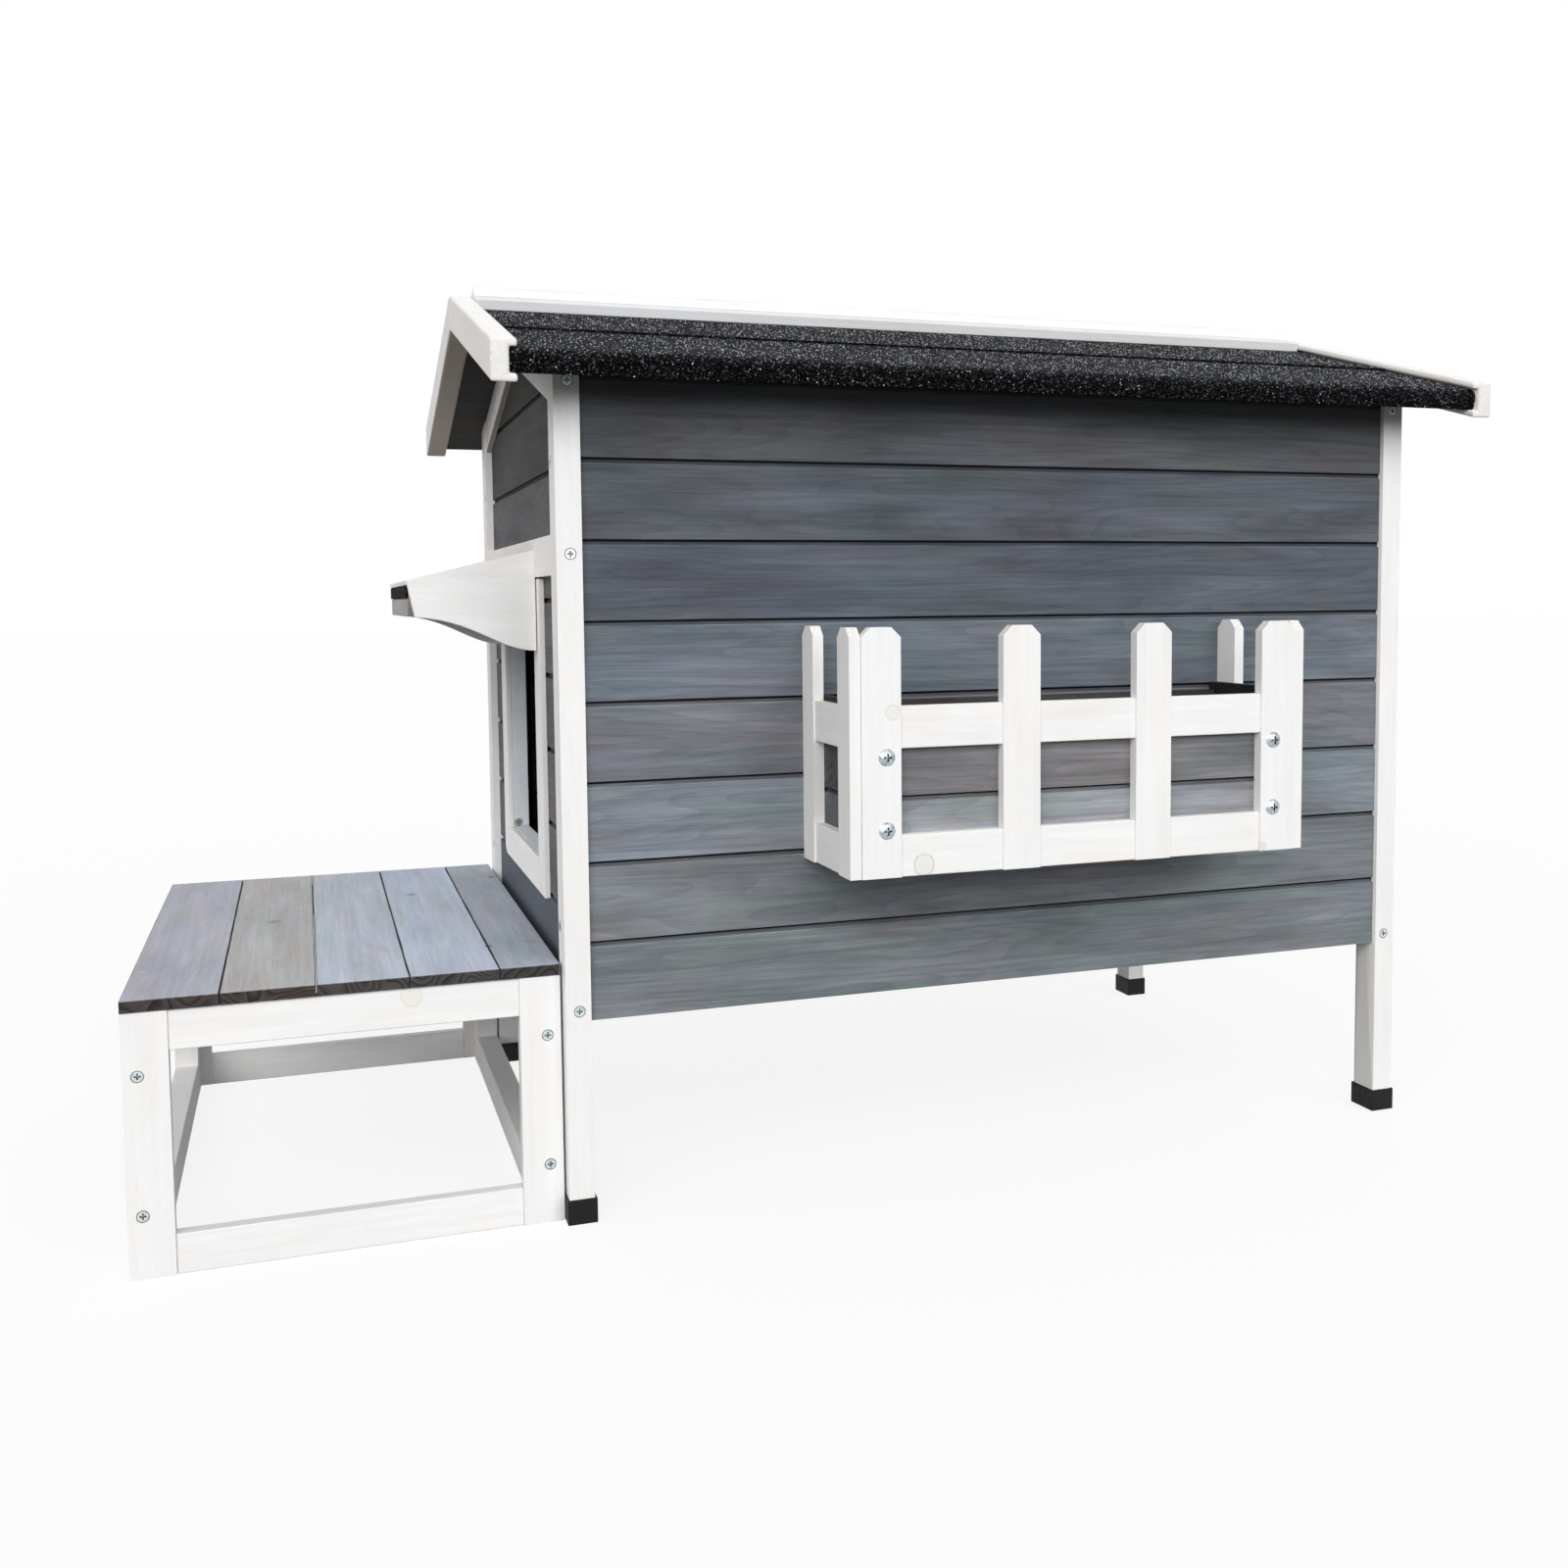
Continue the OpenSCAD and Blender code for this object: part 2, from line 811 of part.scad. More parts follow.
// Four lining boards in the thickness of the door gable
module door_jamb_liner() {
    x0 = -gable_x;
    x1 = -gable_x + liner_d;
    y = door_w / 2;
    color(white)
        in_frame() {
            for (sy = [0, 1])
                mirror([0, sy, 0])
                    block([x0, y, door_z + piece_gap], [x1, y + liner_t, door_z + door_h - piece_gap]);
            block([x0, -liner_half, liner_bottom], [x1, liner_half, door_z]);
            block([x0, -liner_half, door_z + door_h], [x1, liner_half, liner_top]);
        }
}

// Lower edge of an awning bracket: a curve from its nose to the gable
function bezier(a, b, c, d, t) =
    pow(1 - t, 3) * a + 3 * pow(1 - t, 2) * t * b + 3 * (1 - t) * pow(t, 2) * c + pow(t, 3) * d;

module awning_bracket() {
    x = -awning_x;
    nose_x = x - awning_reach;
    chin = [nose_x + bracket_nose, bracket_front_low_z];
    heel = [x, bracket_low_z];
    bend_a = [x - awning_reach * 0.46, bracket_front_low_z - bracket_dip];
    bend_b = [x - awning_reach * 0.3, bracket_low_z];
    curve = [for (i = [0 : curve_steps]) bezier(chin, bend_a, bend_b, heel, i / curve_steps)];
    color(white)
        along_y(-bracket_half, -bracket_half + bracket_t)
            polygon(concat([[x, awning_top_z], [nose_x, awning_front_z]], curve));
}

module awning_bracket_front() {
    in_frame()
        awning_bracket();
}

module awning_bracket_back() {
    in_frame()
        mirror([0, 1, 0])
            awning_bracket();
}

// A slab of the awning between the brackets: from depth d0 to d1 square to its top line
module awning_slab(d0, d1, front_in) {
    x = -awning_x;
    nose_x = x - awning_reach + front_in;
    fall = tan(awning_slope);
    a = d0 / cos(awning_slope);
    b = d1 / cos(awning_slope);
    along_y(-awning_inner, awning_inner)
        polygon([
            [x, awning_top_z - b], [x, awning_top_z - a],
            [nose_x, awning_top_z - a - (x - nose_x) * fall],
            [nose_x, awning_top_z - b - (x - nose_x) * fall]
        ]);
}

module awning_board() {
    color(grey_wood)
        in_frame()
            awning_slab(awning_felt_d, awning_felt_d + awning_board_t, felt_t);
}

// Felt on the awning, folded down over its front edge
module awning_felt() {
    color(felt_black)
        in_frame()
            union() {
                awning_slab(awning_edge, awning_felt_d, 0);
                block([awning_nose_x, -awning_inner, awning_wrap_z],
                      [awning_nose_x + felt_t, awning_inner, awning_front_z - awning_edge - felt_t / 2]);
            }
}

module awning_fascia() {
    top_z = awning_wrap_z - piece_gap;
    x0 = awning_nose_x + fascia_in;
    color(grey_wood)
        in_frame()
            difference() {
                block([x0, -awning_inner, top_z - fascia_h], [x0 + board_t, awning_inner, top_z]);
                awning_slab(awning_felt_d, awning_felt_d + awning_board_t + piece_gap, -fascia_in);
            }
}

// Draws children in the plane of the front slope: y falls from the ridge, z is square to it
module on_slope() {
    translate([0, 0, ridge_z])
        rotate([roof_slope, 0, 0])
            children();
}

// Section of a roof panel, with a plumb cut at the ridge and a rounded eave
module panel_section(t, s_end, r) {
    polygon([[0, 0], [t * slope_tan, t], [-s_end + r, t], [-s_end + r, 0]]);
    translate([-s_end, 0])
        square([r + 0.01, t - r]);
    intersection() {
        translate([-s_end + r, t - r])
            circle(r);
        translate([-s_end, t - r])
            square([r + 0.01, r]);
    }
}

// The felt's whole thickness over the panel
module felt_section() {
    difference() {
        panel_section(panel_t + felt_t, panel_s + felt_t, eave_r + felt_t);
        panel_section(panel_t, panel_s, eave_r);
        translate([-panel_s - 1, -1])
            square([1 + panel_s + panel_t, 1 + panel_t - eave_r - felt_t]);
    }
    translate([-panel_s - felt_t, 0])
        square([felt_t, panel_t - eave_r]);
}

module slope_panel() {
    color(grey_dark)
        along_x(-barge_in_x, barge_in_x)
            difference() {
                panel_section(panel_t, panel_s, eave_r);
                translate([-piece_gap / 2, -1])
                    square([panel_t, panel_t + 2]);
            }
}

// Lower strip: from the eave to the top of the lap
module lower_felt() {
    top_s = felt_edge_s - felt_lap;
    color(felt_black)
        along_x(-barge_in_x, barge_in_x)
            intersection() {
                felt_section();
                translate([-eave_s, -1])
                    square([eave_s - top_s, slot_h + 2]);
            }
}

// Upper strip: on the panel near the ridge, then one felt higher over the lap
module upper_felt() {
    lap_s = felt_edge_s - felt_lap - piece_gap;
    low = panel_t;
    mid = panel_t + felt_t;
    high = panel_t + 2 * felt_t;
    ridge_in = piece_gap;
    color(felt_black)
        along_x(-barge_in_x, barge_in_x)
            polygon([
                [-ridge_in, low], [-ridge_in, mid], [-lap_s + felt_step, mid], [-lap_s, high],
                [-felt_edge_s, high], [-felt_edge_s, mid], [-lap_s, mid], [-lap_s, low]
            ]);
}

module roof_panel_front() {
    in_frame()
        on_slope()
            slope_panel();
}

module roof_panel_back() {
    in_frame()
        difference() {
            mirror([0, 1, 0])
                on_slope()
                    slope_panel();
            at_hinge_screws(true)
                wood_screw(hinge_head_r, hinge_screw_r, hinge_screw_len, fit_gap);
        }
}

module roof_felt_front_lower() {
    in_frame()
        on_slope()
            lower_felt();
}

module roof_felt_front_upper() {
    in_frame()
        on_slope()
            upper_felt();
}

module roof_felt_back_lower() {
    in_frame()
        mirror([0, 1, 0])
            on_slope()
                lower_felt();
}

module roof_felt_back_upper() {
    in_frame()
        mirror([0, 1, 0])
            on_slope()
                upper_felt();
}

// Bargeboard of the left front slope: a channel that grips the panel's edge
module bargeboard() {
    far = eave_s + slot_h;
    color(white)
        intersection() {
            on_slope()
                along_y(-far, far)
                    polygon([
                        [-barge_x, -barge_lip_t], [-lip_in_x, -barge_lip_t], [-lip_in_x, 0],
                        [-barge_in_x, 0], [-barge_in_x, slot_h], [-lip_in_x, slot_h],
                        [-lip_in_x, barge_top_v], [-barge_x, barge_top_v]
                    ]);
            block([-barge_x - 1, -eave_y, 0], [-lip_in_x + 1, -piece_gap / 2, 2 * ridge_z]);
        }
}

module bargeboard_left_front() {
    in_frame()
        bargeboard();
}

module bargeboard_left_back() {
    in_frame()
        mirror([0, 1, 0])
            bargeboard();
}

module bargeboard_right_front() {
    in_frame()
        mirror([1, 0, 0])
            bargeboard();
}

module bargeboard_right_back() {
    in_frame()
        mirror([1, 0, 0])
            mirror([0, 1, 0])
                bargeboard();
}

// The back ridge board passes the ridge and covers the bevelled edge of the front one
module ridge_slab(s0, s1, v1) {
    along_x(-lip_in_x + piece_gap, lip_in_x - piece_gap)
        polygon([[-s1, ridge_base_v], [-s0, ridge_base_v], [-s0, v1], [-s1, v1]]);
}

module ridge_board_front() {
    color(white)
        in_frame()
            difference() {
                on_slope()
                    ridge_slab(-ridge_base_v * slope_tan, ridge_front_w, ridge_base_v + ridge_t);
                mirror([0, 1, 0])
                    on_slope()
                        translate([0, 0, -piece_gap / 2])
                            back_ridge_space();
            }
}

// Space above the back slope's felt that the back ridge board and its edge take up
module back_ridge_space() {
    along_x(-half_len - roof_side_over, half_len + roof_side_over)
        polygon([
            [-ridge_back_w, ridge_base_v], [2 * ridge_lap, ridge_base_v],
            [2 * ridge_lap, ridge_base_v + 3 * ridge_t], [-ridge_back_w, ridge_base_v + 3 * ridge_t]
        ]);
}

module ridge_board_back() {
    color(white)
        in_frame()
            mirror([0, 1, 0])
                on_slope()
                    ridge_slab(-ridge_lap, ridge_back_w - ridge_lap, ridge_base_v + ridge_t);
}

// Puts a hinge screw or its hole at each place, in the wall or in the roof panel
module at_hinge_screws(in_roof) {
    reach = leaf_w * 0.62;
    for (side = [-1, 1])
        for (i = [0 : hinge_screw_n - 1]) {
            x = side * hinge_x + (i - (hinge_screw_n - 1) / 2) * hinge_len * 0.34;
            if (in_roof)
                mirror([0, 1, 0])
                    on_slope()
                        translate([x, -hinge_s - reach, -leaf_t])
                            rotate([180, 0, 0])
                                children();
            else
                translate([x, wall_y + leaf_t, hinge_z - reach])
                    rotate([-90, 0, 0])
                        children();
        }
}

// Outer knuckles stay with the wall leaf, the middle one with the roof leaf
module knuckle(x0, x1) {
    translate([x0, hinge_y, hinge_z])
        rotate([0, 90, 0])
            difference() {
                cylinder(r = knuckle_r, h = x1 - x0);
                translate([0, 0, -1])
                    cylinder(r = pin_r + fit_gap, h = x1 - x0 + 2);
            }
}

module roof_hinge_fixed_leaves() {
    part_len = hinge_len / knuckle_n;
    color(steel)
        in_frame()
            difference() {
                for (side = [-1, 1]) {
                    x0 = side * hinge_x - hinge_len / 2;
                    difference() {
                        union() {
                            block([x0, wall_y, hinge_z - leaf_w], [x0 + hinge_len, wall_y + leaf_t, hinge_z]);
                            knuckle(x0, x0 + part_len);
                            knuckle(x0 + 2 * part_len, x0 + hinge_len);
                        }
                        translate([x0 - 1, hinge_y, hinge_z])
                            rotate([0, 90, 0])
                                cylinder(r = pin_r + fit_gap, h = hinge_len + 2);
                        translate([x0 + part_len - knuckle_gap, hinge_y, hinge_z])
                            rotate([0, 90, 0])
                                cylinder(r = knuckle_r + knuckle_gap, h = part_len + 2 * knuckle_gap);
                    }
                }
                at_hinge_screws(false)
                    wood_screw(hinge_head_r, hinge_screw_r, hinge_screw_len, fit_gap);
            }
}

module roof_hinge_moving_leaves() {
    part_len = hinge_len / knuckle_n;
    color(steel)
        in_frame()
            difference() {
                for (side = [-1, 1]) {
                    x0 = side * hinge_x - hinge_len / 2;
                    difference() {
                        union() {
                            mirror([0, 1, 0])
                                on_slope()
                                    block([x0, -hinge_s - leaf_w, -leaf_t], [x0 + hinge_len, -hinge_s, 0]);
                            knuckle(x0 + part_len, x0 + 2 * part_len);
                        }
                        translate([x0 - 1, hinge_y, hinge_z])
                            rotate([0, 90, 0])
                                cylinder(r = pin_r + fit_gap, h = hinge_len + 2);
                        for (gap_x = [x0 - knuckle_gap, x0 + 2 * part_len])
                            translate([gap_x, hinge_y, hinge_z])
                                rotate([0, 90, 0])
                                    cylinder(r = knuckle_r + knuckle_gap, h = part_len + knuckle_gap);
                    }
                }
                at_hinge_screws(true)
                    wood_screw(hinge_head_r, hinge_screw_r, hinge_screw_len, fit_gap);
            }
}

module roof_hinge_pins() {
    color(steel)
        in_frame()
            for (side = [-1, 1])
                translate([side * hinge_x - hinge_len / 2 - pin_head_h, hinge_y, hinge_z])
                    rotate([0, 90, 0]) {
                        cylinder(r = pin_r, h = hinge_len + pin_head_h + 1);
                        cylinder(r = pin_head_r, h = pin_head_h - fit_gap);
                    }
}

module roof_hinge_wall_screws() {
    color(steel)
        in_frame()
            at_hinge_screws(false)
                cross_screw(hinge_head_r, hinge_screw_r, hinge_screw_len);
}

module roof_hinge_roof_screws() {
    color(steel)
        in_frame()
            at_hinge_screws(true)
                cross_screw(hinge_head_r, hinge_screw_r, hinge_screw_len);
}

// Block under the front slope that carries the stay's pivot
module roof_stay_block() {
    y0 = stay_y - stay_block_d / 2;
    y1 = stay_y + stay_block_d / 2;
    low_z = stay_z - stay_w / 2;
    x0 = stay_x1 + stay_side_gap;
    color(white)
        in_frame()
            difference() {
                along_x(x0, x0 + stay_block_w)
                    polygon([[y0, low_z], [y1, low_z], [y1, roof_under(y1)], [y0, roof_under(y0)]]);
                translate([x0 - 1, stay_y, stay_z])
                    rotate([0, 90, 0])
                        cylinder(r = stay_pin_r + fit_gap, h = stay_block_w);
            }
}

// Flat steel bar that hangs from its pivot and is stood on the front wall to hold the roof open
module roof_stay_arm() {
    x0 = stay_x1 - stay_t;
    color(steel)
        in_frame()
            translate([x0, stay_y, stay_z])
                rotate([90, 0, 90])
                    linear_extrude(stay_t)
                        difference() {
                            union() {
                                circle(stay_w / 2);
                                translate([-stay_w / 2, -stay_len + stay_w / 2])
                                    square([stay_w, stay_len - stay_w / 2]);
                                translate([0, -stay_len + stay_w / 2])
                                    circle(stay_w / 2);
                            }
                            circle(stay_pin_r + fit_gap);
                        }
}

module roof_stay_screw() {
    x0 = stay_x1 - stay_t - stay_side_gap;
    color(steel)
        in_frame()
            translate([x0, stay_y, stay_z])
                rotate([0, 90, 0])
                    difference() {
                        union() {
                            cylinder(r = stay_pin_r, h = stay_t + 2 * stay_side_gap + stay_block_w * 0.8);
                            translate([0, 0, -stay_head_h])
                                cylinder(r = 2 * stay_pin_r, h = stay_head_h);
                        }
                        translate([0, 0, -stay_head_h])
                            rotate([180, 0, 0])
                                cross_recess(2 * stay_pin_r, 1.2);
                    }
}

// Stool top: full planks, then the narrow one by the house
module step_planks() {
    color(step_grey)
        in_frame()
            for (i = [0 : full_planks]) {
                x = step_x0 + i * (plank_w + plank_gap);
                w = i < full_planks ? plank_w : last_plank;
                block([x, step_y0, frame_top], [x + w, step_y1, step_h]);
            }
}

// Puts a screw or its hole where the end frames are screwed to the side legs
module at_step_screws() {
    for (x = [step_x0 + side_leg_w / 2, step_x1 - side_leg_w / 2])
        for (z = [step_screw_low, step_screw_high]) {
            translate([x, frame_y0, z])
                rotate([90, 0, 0])
                    children();
            translate([x, frame_y1, z])
                rotate([-90, 0, 0])
                    children();
        }
}

module step_drilled() {
    difference() {
        children();
        at_step_screws()
            wood_screw(screw_head_r, screw_r, step_screw_len, fit_gap);
    }
}

module step_screws() {
    color(steel)
        in_frame()
            at_step_screws()
                cross_screw(screw_head_r, screw_r, step_screw_len);
}

// Draws children, which belong to the front left corner of the stool, at its four corners
module at_step_corners() {
    mid_x = (step_x0 + step_x1) / 2;
    mid_y = (step_y0 + step_y1) / 2;
    translate([mid_x, mid_y, 0])
        for (sx = [0, 1])
            for (sy = [0, 1])
                mirror([sx, 0, 0])
                    mirror([0, sy, 0])
                        translate([-mid_x, -mid_y, 0])
                            children();
}

module step_side_legs() {
    y = frame_y0 + stile_t;
    color(white)
        in_frame()
            step_drilled()
                at_step_corners()
                    block([step_x0, y, 0], [step_x0 + side_leg_w, y + side_leg_d, frame_top]);
}

module step_end_stiles() {
    color(white)
        in_frame()
            step_drilled()
                at_step_corners()
                    block([step_x0, frame_y0, 0], [step_x0 + stile_w, frame_y0 + stile_t, frame_top]);
}

// End rails between the stiles, and side rails between the legs, at the top and on the ground
module step_rails() {
    end_x0 = step_x0 + stile_w;
    end_x1 = step_x1 - stile_w;
    side_y0 = frame_y0 + stile_t + side_leg_d;
    side_y1 = frame_y1 - stile_t - side_leg_d;
    color(white)
        in_frame()
            for (z = [0, frame_top - step_rail_h]) {
                block([end_x0, frame_y0 + rail_setback, z], [end_x1, frame_y0 + stile_t, z + step_rail_h]);
                block([end_x0, frame_y1 - stile_t, z], [end_x1, frame_y1 - rail_setback, z + step_rail_h]);
                block([step_x0, side_y0, z], [step_x0 + side_leg_w, side_y1, z + step_rail_h]);
                block([step_x1 - side_leg_w, side_y0, z], [step_x1, side_y1, z + step_rail_h]);
            }
}

// Picket with cut upper corners, in its own plane
module picket_outline(w) {
    polygon([
        [0, box_z], [w, box_z], [w, box_top - picket_cut],
        [w - picket_cut, box_top], [picket_cut, box_top], [0, box_top - picket_cut]
    ]);
}

// Rails of the flower box, or the notches that they lie in
module box_rails(grow) {
    for (z = [box_z, box_z + upper_rail_up]) {
        z0 = z - grow;
        z1 = z + box_rail_h + grow;
        block([box_in_x0, box_y + box_rail_setback - grow, z0],
              [box_in_x1, picket_back_y + grow, z1]);
        for (side = [0, 1]) {
            x0 = side == 0 ? box_x0 + box_rail_setback - grow : box_in_x1 - grow;
            x1 = side == 0 ? box_in_x0 + grow : box_x1 - box_rail_setback + grow;
            block([x0, picket_back_y + 1, z0], [x1, box_back_y + grow, z1]);
        }
    }
}

// Front pickets, and on each side one picket at the corner and one at the wall
module flower_box_pickets() {
    color(white)
        in_frame()
            difference() {
                union() {
                    for (i = [0 : picket_n - 1]) {
                        x = box_in_x0 + piece_gap / 2 + i * (picket_step - piece_gap / (picket_n - 1));
                        along_y(box_y, picket_back_y)
                            translate([x, 0])
                                picket_outline(picket_w);
                    }
                    for (x = [box_x0, box_in_x1 + piece_gap])
                        for (y = [box_y + side_picket_in, box_back_y - side_picket_w])
                            along_x(x, x + picket_t - piece_gap)
                                translate([y, 0])
                                    picket_outline(side_picket_w);
                }
                box_rails(fit_gap);
                at_box_screws()
                    pan_screw(fit_gap);
            }
}

module flower_box_rails() {
    color(white)
        in_frame()
            box_rails(0);
}

// Round headed screw, its head's underside at the origin and its point down
module pan_screw(grow) {
    rotate_extrude()
        polygon([
            [0, 0], [box_screw_r + grow, 0], [box_screw_r + grow, box_screw_point - box_screw_len],
            [0, -box_screw_len - grow]
        ]);
}

module pan_head() {
    dome_r = (pow(pan_head_r, 2) + pow(pan_head_h, 2)) / (2 * pan_head_h);
    intersection() {
        translate([0, 0, pan_head_h - dome_r])
            sphere(r = dome_r);
        cylinder(r = pan_head_r + 1, h = pan_head_h);
    }
}

module at_box_screws() {
    for (x = [box_in_x0 + box_screw_in, box_in_x1 - box_screw_in])
        for (up = [box_screw_low, box_screw_high])
            translate([x, box_y, box_z + up])
                rotate([90, 0, 0])
                    children();
}

module flower_box_screws() {
    color(steel)
        in_frame()
            at_box_screws()
                difference() {
                    union() {
                        pan_screw(0);
                        pan_head();
                    }
                    translate([0, 0, pan_head_h])
                        cross_recess(pan_head_r * 0.8, 2);
                }
}

// Trough of matched boards inside the pickets
module flower_box_trough_boards() {
    low_top = trough_top - trough_drop;
    mid_x = (box_in_x0 + box_in_x1) / 2;
    inner_w = box_in_x1 - box_in_x0;
    color(grey_dark)
        in_frame()
            difference() {
                union() {
                    along_x(box_in_x0 + board_t + piece_gap, box_in_x1 - board_t - piece_gap)
                        translate([trough_y, 0])
                            board_stack(box_z, low_top, trough_pitch);
                    along_x(box_in_x0 + board_t + piece_gap, box_in_x1 - board_t - piece_gap)
                        translate([box_back_y - board_t, 0])
                            board_stack(box_z, low_top, trough_pitch);
                    translate([mid_x, 0, 0])
                        for (side = [0, 1])
                            mirror([side, 0, 0])
                                along_y(trough_y, box_back_y)
                                    translate([-inner_w / 2, 0])
                                        board_stack(box_z, trough_top, trough_pitch);
                }
                at_box_screws()
                    pan_screw(fit_gap);
            }
}

module flower_box_floor() {
    in = board_t + piece_gap;
    color(grey_dark)
        in_frame()
            block([box_in_x0 + in, trough_y + in, box_z], [box_in_x1 - in, box_back_y - in, box_z + board_t]);
}

post_front_left();
post_front_right();
post_back_left();
post_back_right();
rubber_feet();
front_wall_boards();
back_wall_boards();
corner_battens();
wall_top_rails();
floor_bearers();
floor_panel();
door_gable_kick_board();
door_gable_boards();
door_gable_cross_rail();
door_gable_top_boards();
door_gable_rafters();
right_gable_boards();
right_gable_rafters();
door_stile_front();
door_stile_back();
door_head();
door_sill();
door_jamb_liner();
awning_bracket_front();
awning_bracket_back();
awning_board();
awning_felt();
awning_fascia();
roof_panel_front();
roof_panel_back();
roof_felt_front_lower();
roof_felt_front_upper();
roof_felt_back_lower();
roof_felt_back_upper();
bargeboard_left_front();
bargeboard_left_back();
bargeboard_right_front();
bargeboard_right_back();
ridge_board_front();
ridge_board_back();
roof_hinge_fixed_leaves();
roof_hinge_moving_leaves();
roof_hinge_pins();
roof_hinge_wall_screws();
roof_hinge_roof_screws();
roof_stay_block();
roof_stay_arm();
roof_stay_screw();
step_planks();
step_side_legs();
step_end_stiles();
step_rails();
flower_box_pickets();
flower_box_rails();
flower_box_trough_boards();
flower_box_floor();
house_screws();
step_screws();
flower_box_screws();
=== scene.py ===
"""Finishes, small fixings and a plain studio for the elevated cat house.

Laid out as an add-on, and run as a script.
"""

import math

import bpy
import numpy
from mathutils import Matrix, Vector
from mathutils.bvhtree import BVHTree


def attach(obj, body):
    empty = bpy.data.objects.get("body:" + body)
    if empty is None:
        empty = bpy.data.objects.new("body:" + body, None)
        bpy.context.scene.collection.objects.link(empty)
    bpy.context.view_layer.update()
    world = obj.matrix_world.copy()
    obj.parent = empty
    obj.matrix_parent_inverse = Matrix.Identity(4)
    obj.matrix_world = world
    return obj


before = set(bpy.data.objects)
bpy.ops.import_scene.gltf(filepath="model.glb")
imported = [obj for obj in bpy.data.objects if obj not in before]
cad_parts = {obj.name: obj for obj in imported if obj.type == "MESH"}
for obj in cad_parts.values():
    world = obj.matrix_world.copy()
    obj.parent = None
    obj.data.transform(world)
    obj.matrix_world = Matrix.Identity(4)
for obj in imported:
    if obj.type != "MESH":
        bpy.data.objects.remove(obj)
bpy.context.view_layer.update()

bl_info = {
    "name": "Elevated cat house finishes",
    "version": (1, 0, 0),
    "blender": (4, 5, 0),
    "location": "3D View > Sidebar > Cat house",
    "description": "Stained wood, felt, rubber, zinc, staples and a plain studio for the packed cat house",
    "category": "Object",
}

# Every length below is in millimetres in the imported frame, whose origin is under the middle of the whole object
MM = 0.001
SLOPE = math.radians(16.4)    # of the roof
MIDDLE_Y = 33.75              # of the house, under the ridge
POST_FACES_X = (-309.15, 626.75)
POST_FACES_Y = (-246.25, 313.75)
STOOL_FACES_Y = (-232.25, 331.75)
STOOL_TOP = 247.1
WALL_FOOT, WALL_COVER = 192.0, 75.0      # lowest edge of the long walls, and what each of their boards covers
GABLE_FOOT, GABLE_COVER = 292.5, 74.0    # the same beside the door, above the kick board
GABLE_TOP_FOOT, GABLE_TOP_COVER = 631.5, 80.0
TROUGH_FOOT, TROUGH_COVER = 333.0, 73.0
PLANK_START, PLANK_STEP = -690.0, 80.7
REVEAL = 5.0                             # height of the recess over a board's shoulder

BARGEBOARDS = ("bargeboard_left_front", "bargeboard_left_back", "bargeboard_right_front", "bargeboard_right_back")

# Turns that bring the grain of a board to the X axis, by the way the board runs
RUN_X = (0.0, 0.0, 0.0)
RUN_Y = (0.0, 0.0, -math.pi / 2)
RUN_Z = (0.0, math.pi / 2, 0.0)
RUN_SLOPE = (SLOPE, 0.0, -math.pi / 2)


def linear(colour):
    """A colour written as sRGB hex, as linear red, green, blue and alpha."""
    parts = [int(colour[i:i + 2], 16) / 255 for i in (1, 3, 5)]
    return tuple(c / 12.92 if c <= 0.04045 else ((c + 0.055) / 1.055) ** 2.4 for c in parts) + (1.0,)


def tinted(colour, tint):
    """A linear colour with its red, green and blue multiplied by a tint."""
    return tuple(c * t for c, t in zip(colour, tint)) + (1.0,)


def add(tree, kind, inputs=None, output=0, stops=(), sharp=False, **settings):
    """Adds one shader node, sets it, links or fills its inputs, and gives back one of its outputs.

    stops = (position, colour) each, for a colour ramp, which is sharp if each colour holds up to the next stop.
    """
    node = tree.nodes.new("ShaderNode" + kind)
    for name, value in settings.items():
        setattr(node, name, value)
    for key, value in (inputs or {}).items():
        if isinstance(value, bpy.types.NodeSocket):
            tree.links.new(value, node.inputs[key])
        else:
            node.inputs[key].default_value = value
    if stops:
        ramp = node.color_ramp
        ramp.interpolation = "CONSTANT" if sharp else "LINEAR"
        ramp.elements.remove(ramp.elements[1])
        for i, (position, colour) in enumerate(stops):
            step = ramp.elements[0] if i == 0 else ramp.elements.new(position)
            step.color = colour
    return node.outputs[output]


def new_material(name):
    """A material with an empty tree of nodes, and its Principled shader joined to the output."""
    material = bpy.data.materials.new(name)
    material.use_nodes = True
    tree = material.node_tree
    tree.nodes.clear()
    shader = tree.nodes.new("ShaderNodeBsdfPrincipled")
    output = tree.nodes.new("ShaderNodeOutputMaterial")
    tree.links.new(shader.outputs[0], output.inputs[0])
    return material, tree, shader


def coat(tree, shader, colour, rough=None, bump=None):
    """Links what was worked out for a surface to its shader."""
    for name, socket in (("Base Color", colour), ("Roughness", rough), ("Normal", bump)):
        if socket is not None:
            tree.links.new(socket, shader.inputs[name])


def millimetres(tree):
    """Object coordinates in millimetres, so that every pattern stays with its piece as the roof opens."""
    place = add(tree, "TexCoord", output=3)
    return add(tree, "VectorMath", {0: place, "Scale": 1000.0}, operation="SCALE")


class Stain:
    """How a stain takes to planed softwood."""

    def __init__(self, green, brown, grain, dark, end, rub, under=None, contrast=1.0, rough=0.6, bump=0.15,
                 gloss=0.3):
        self.green, self.brown = green, brown    # tints that the colour clouds to
        self.grain, self.dark = grain, dark      # tint of the late wood in each growth ring, and its share
        self.end = end                           # two tints of the end grain
        self.rub = rub                           # colour and share of the rubbed arrises
        self.under = under                       # colour painted on faces that look down, as shade
        self.contrast = contrast                 # strength of streaks and clouds
        self.rough, self.bump, self.gloss = rough, bump, gloss


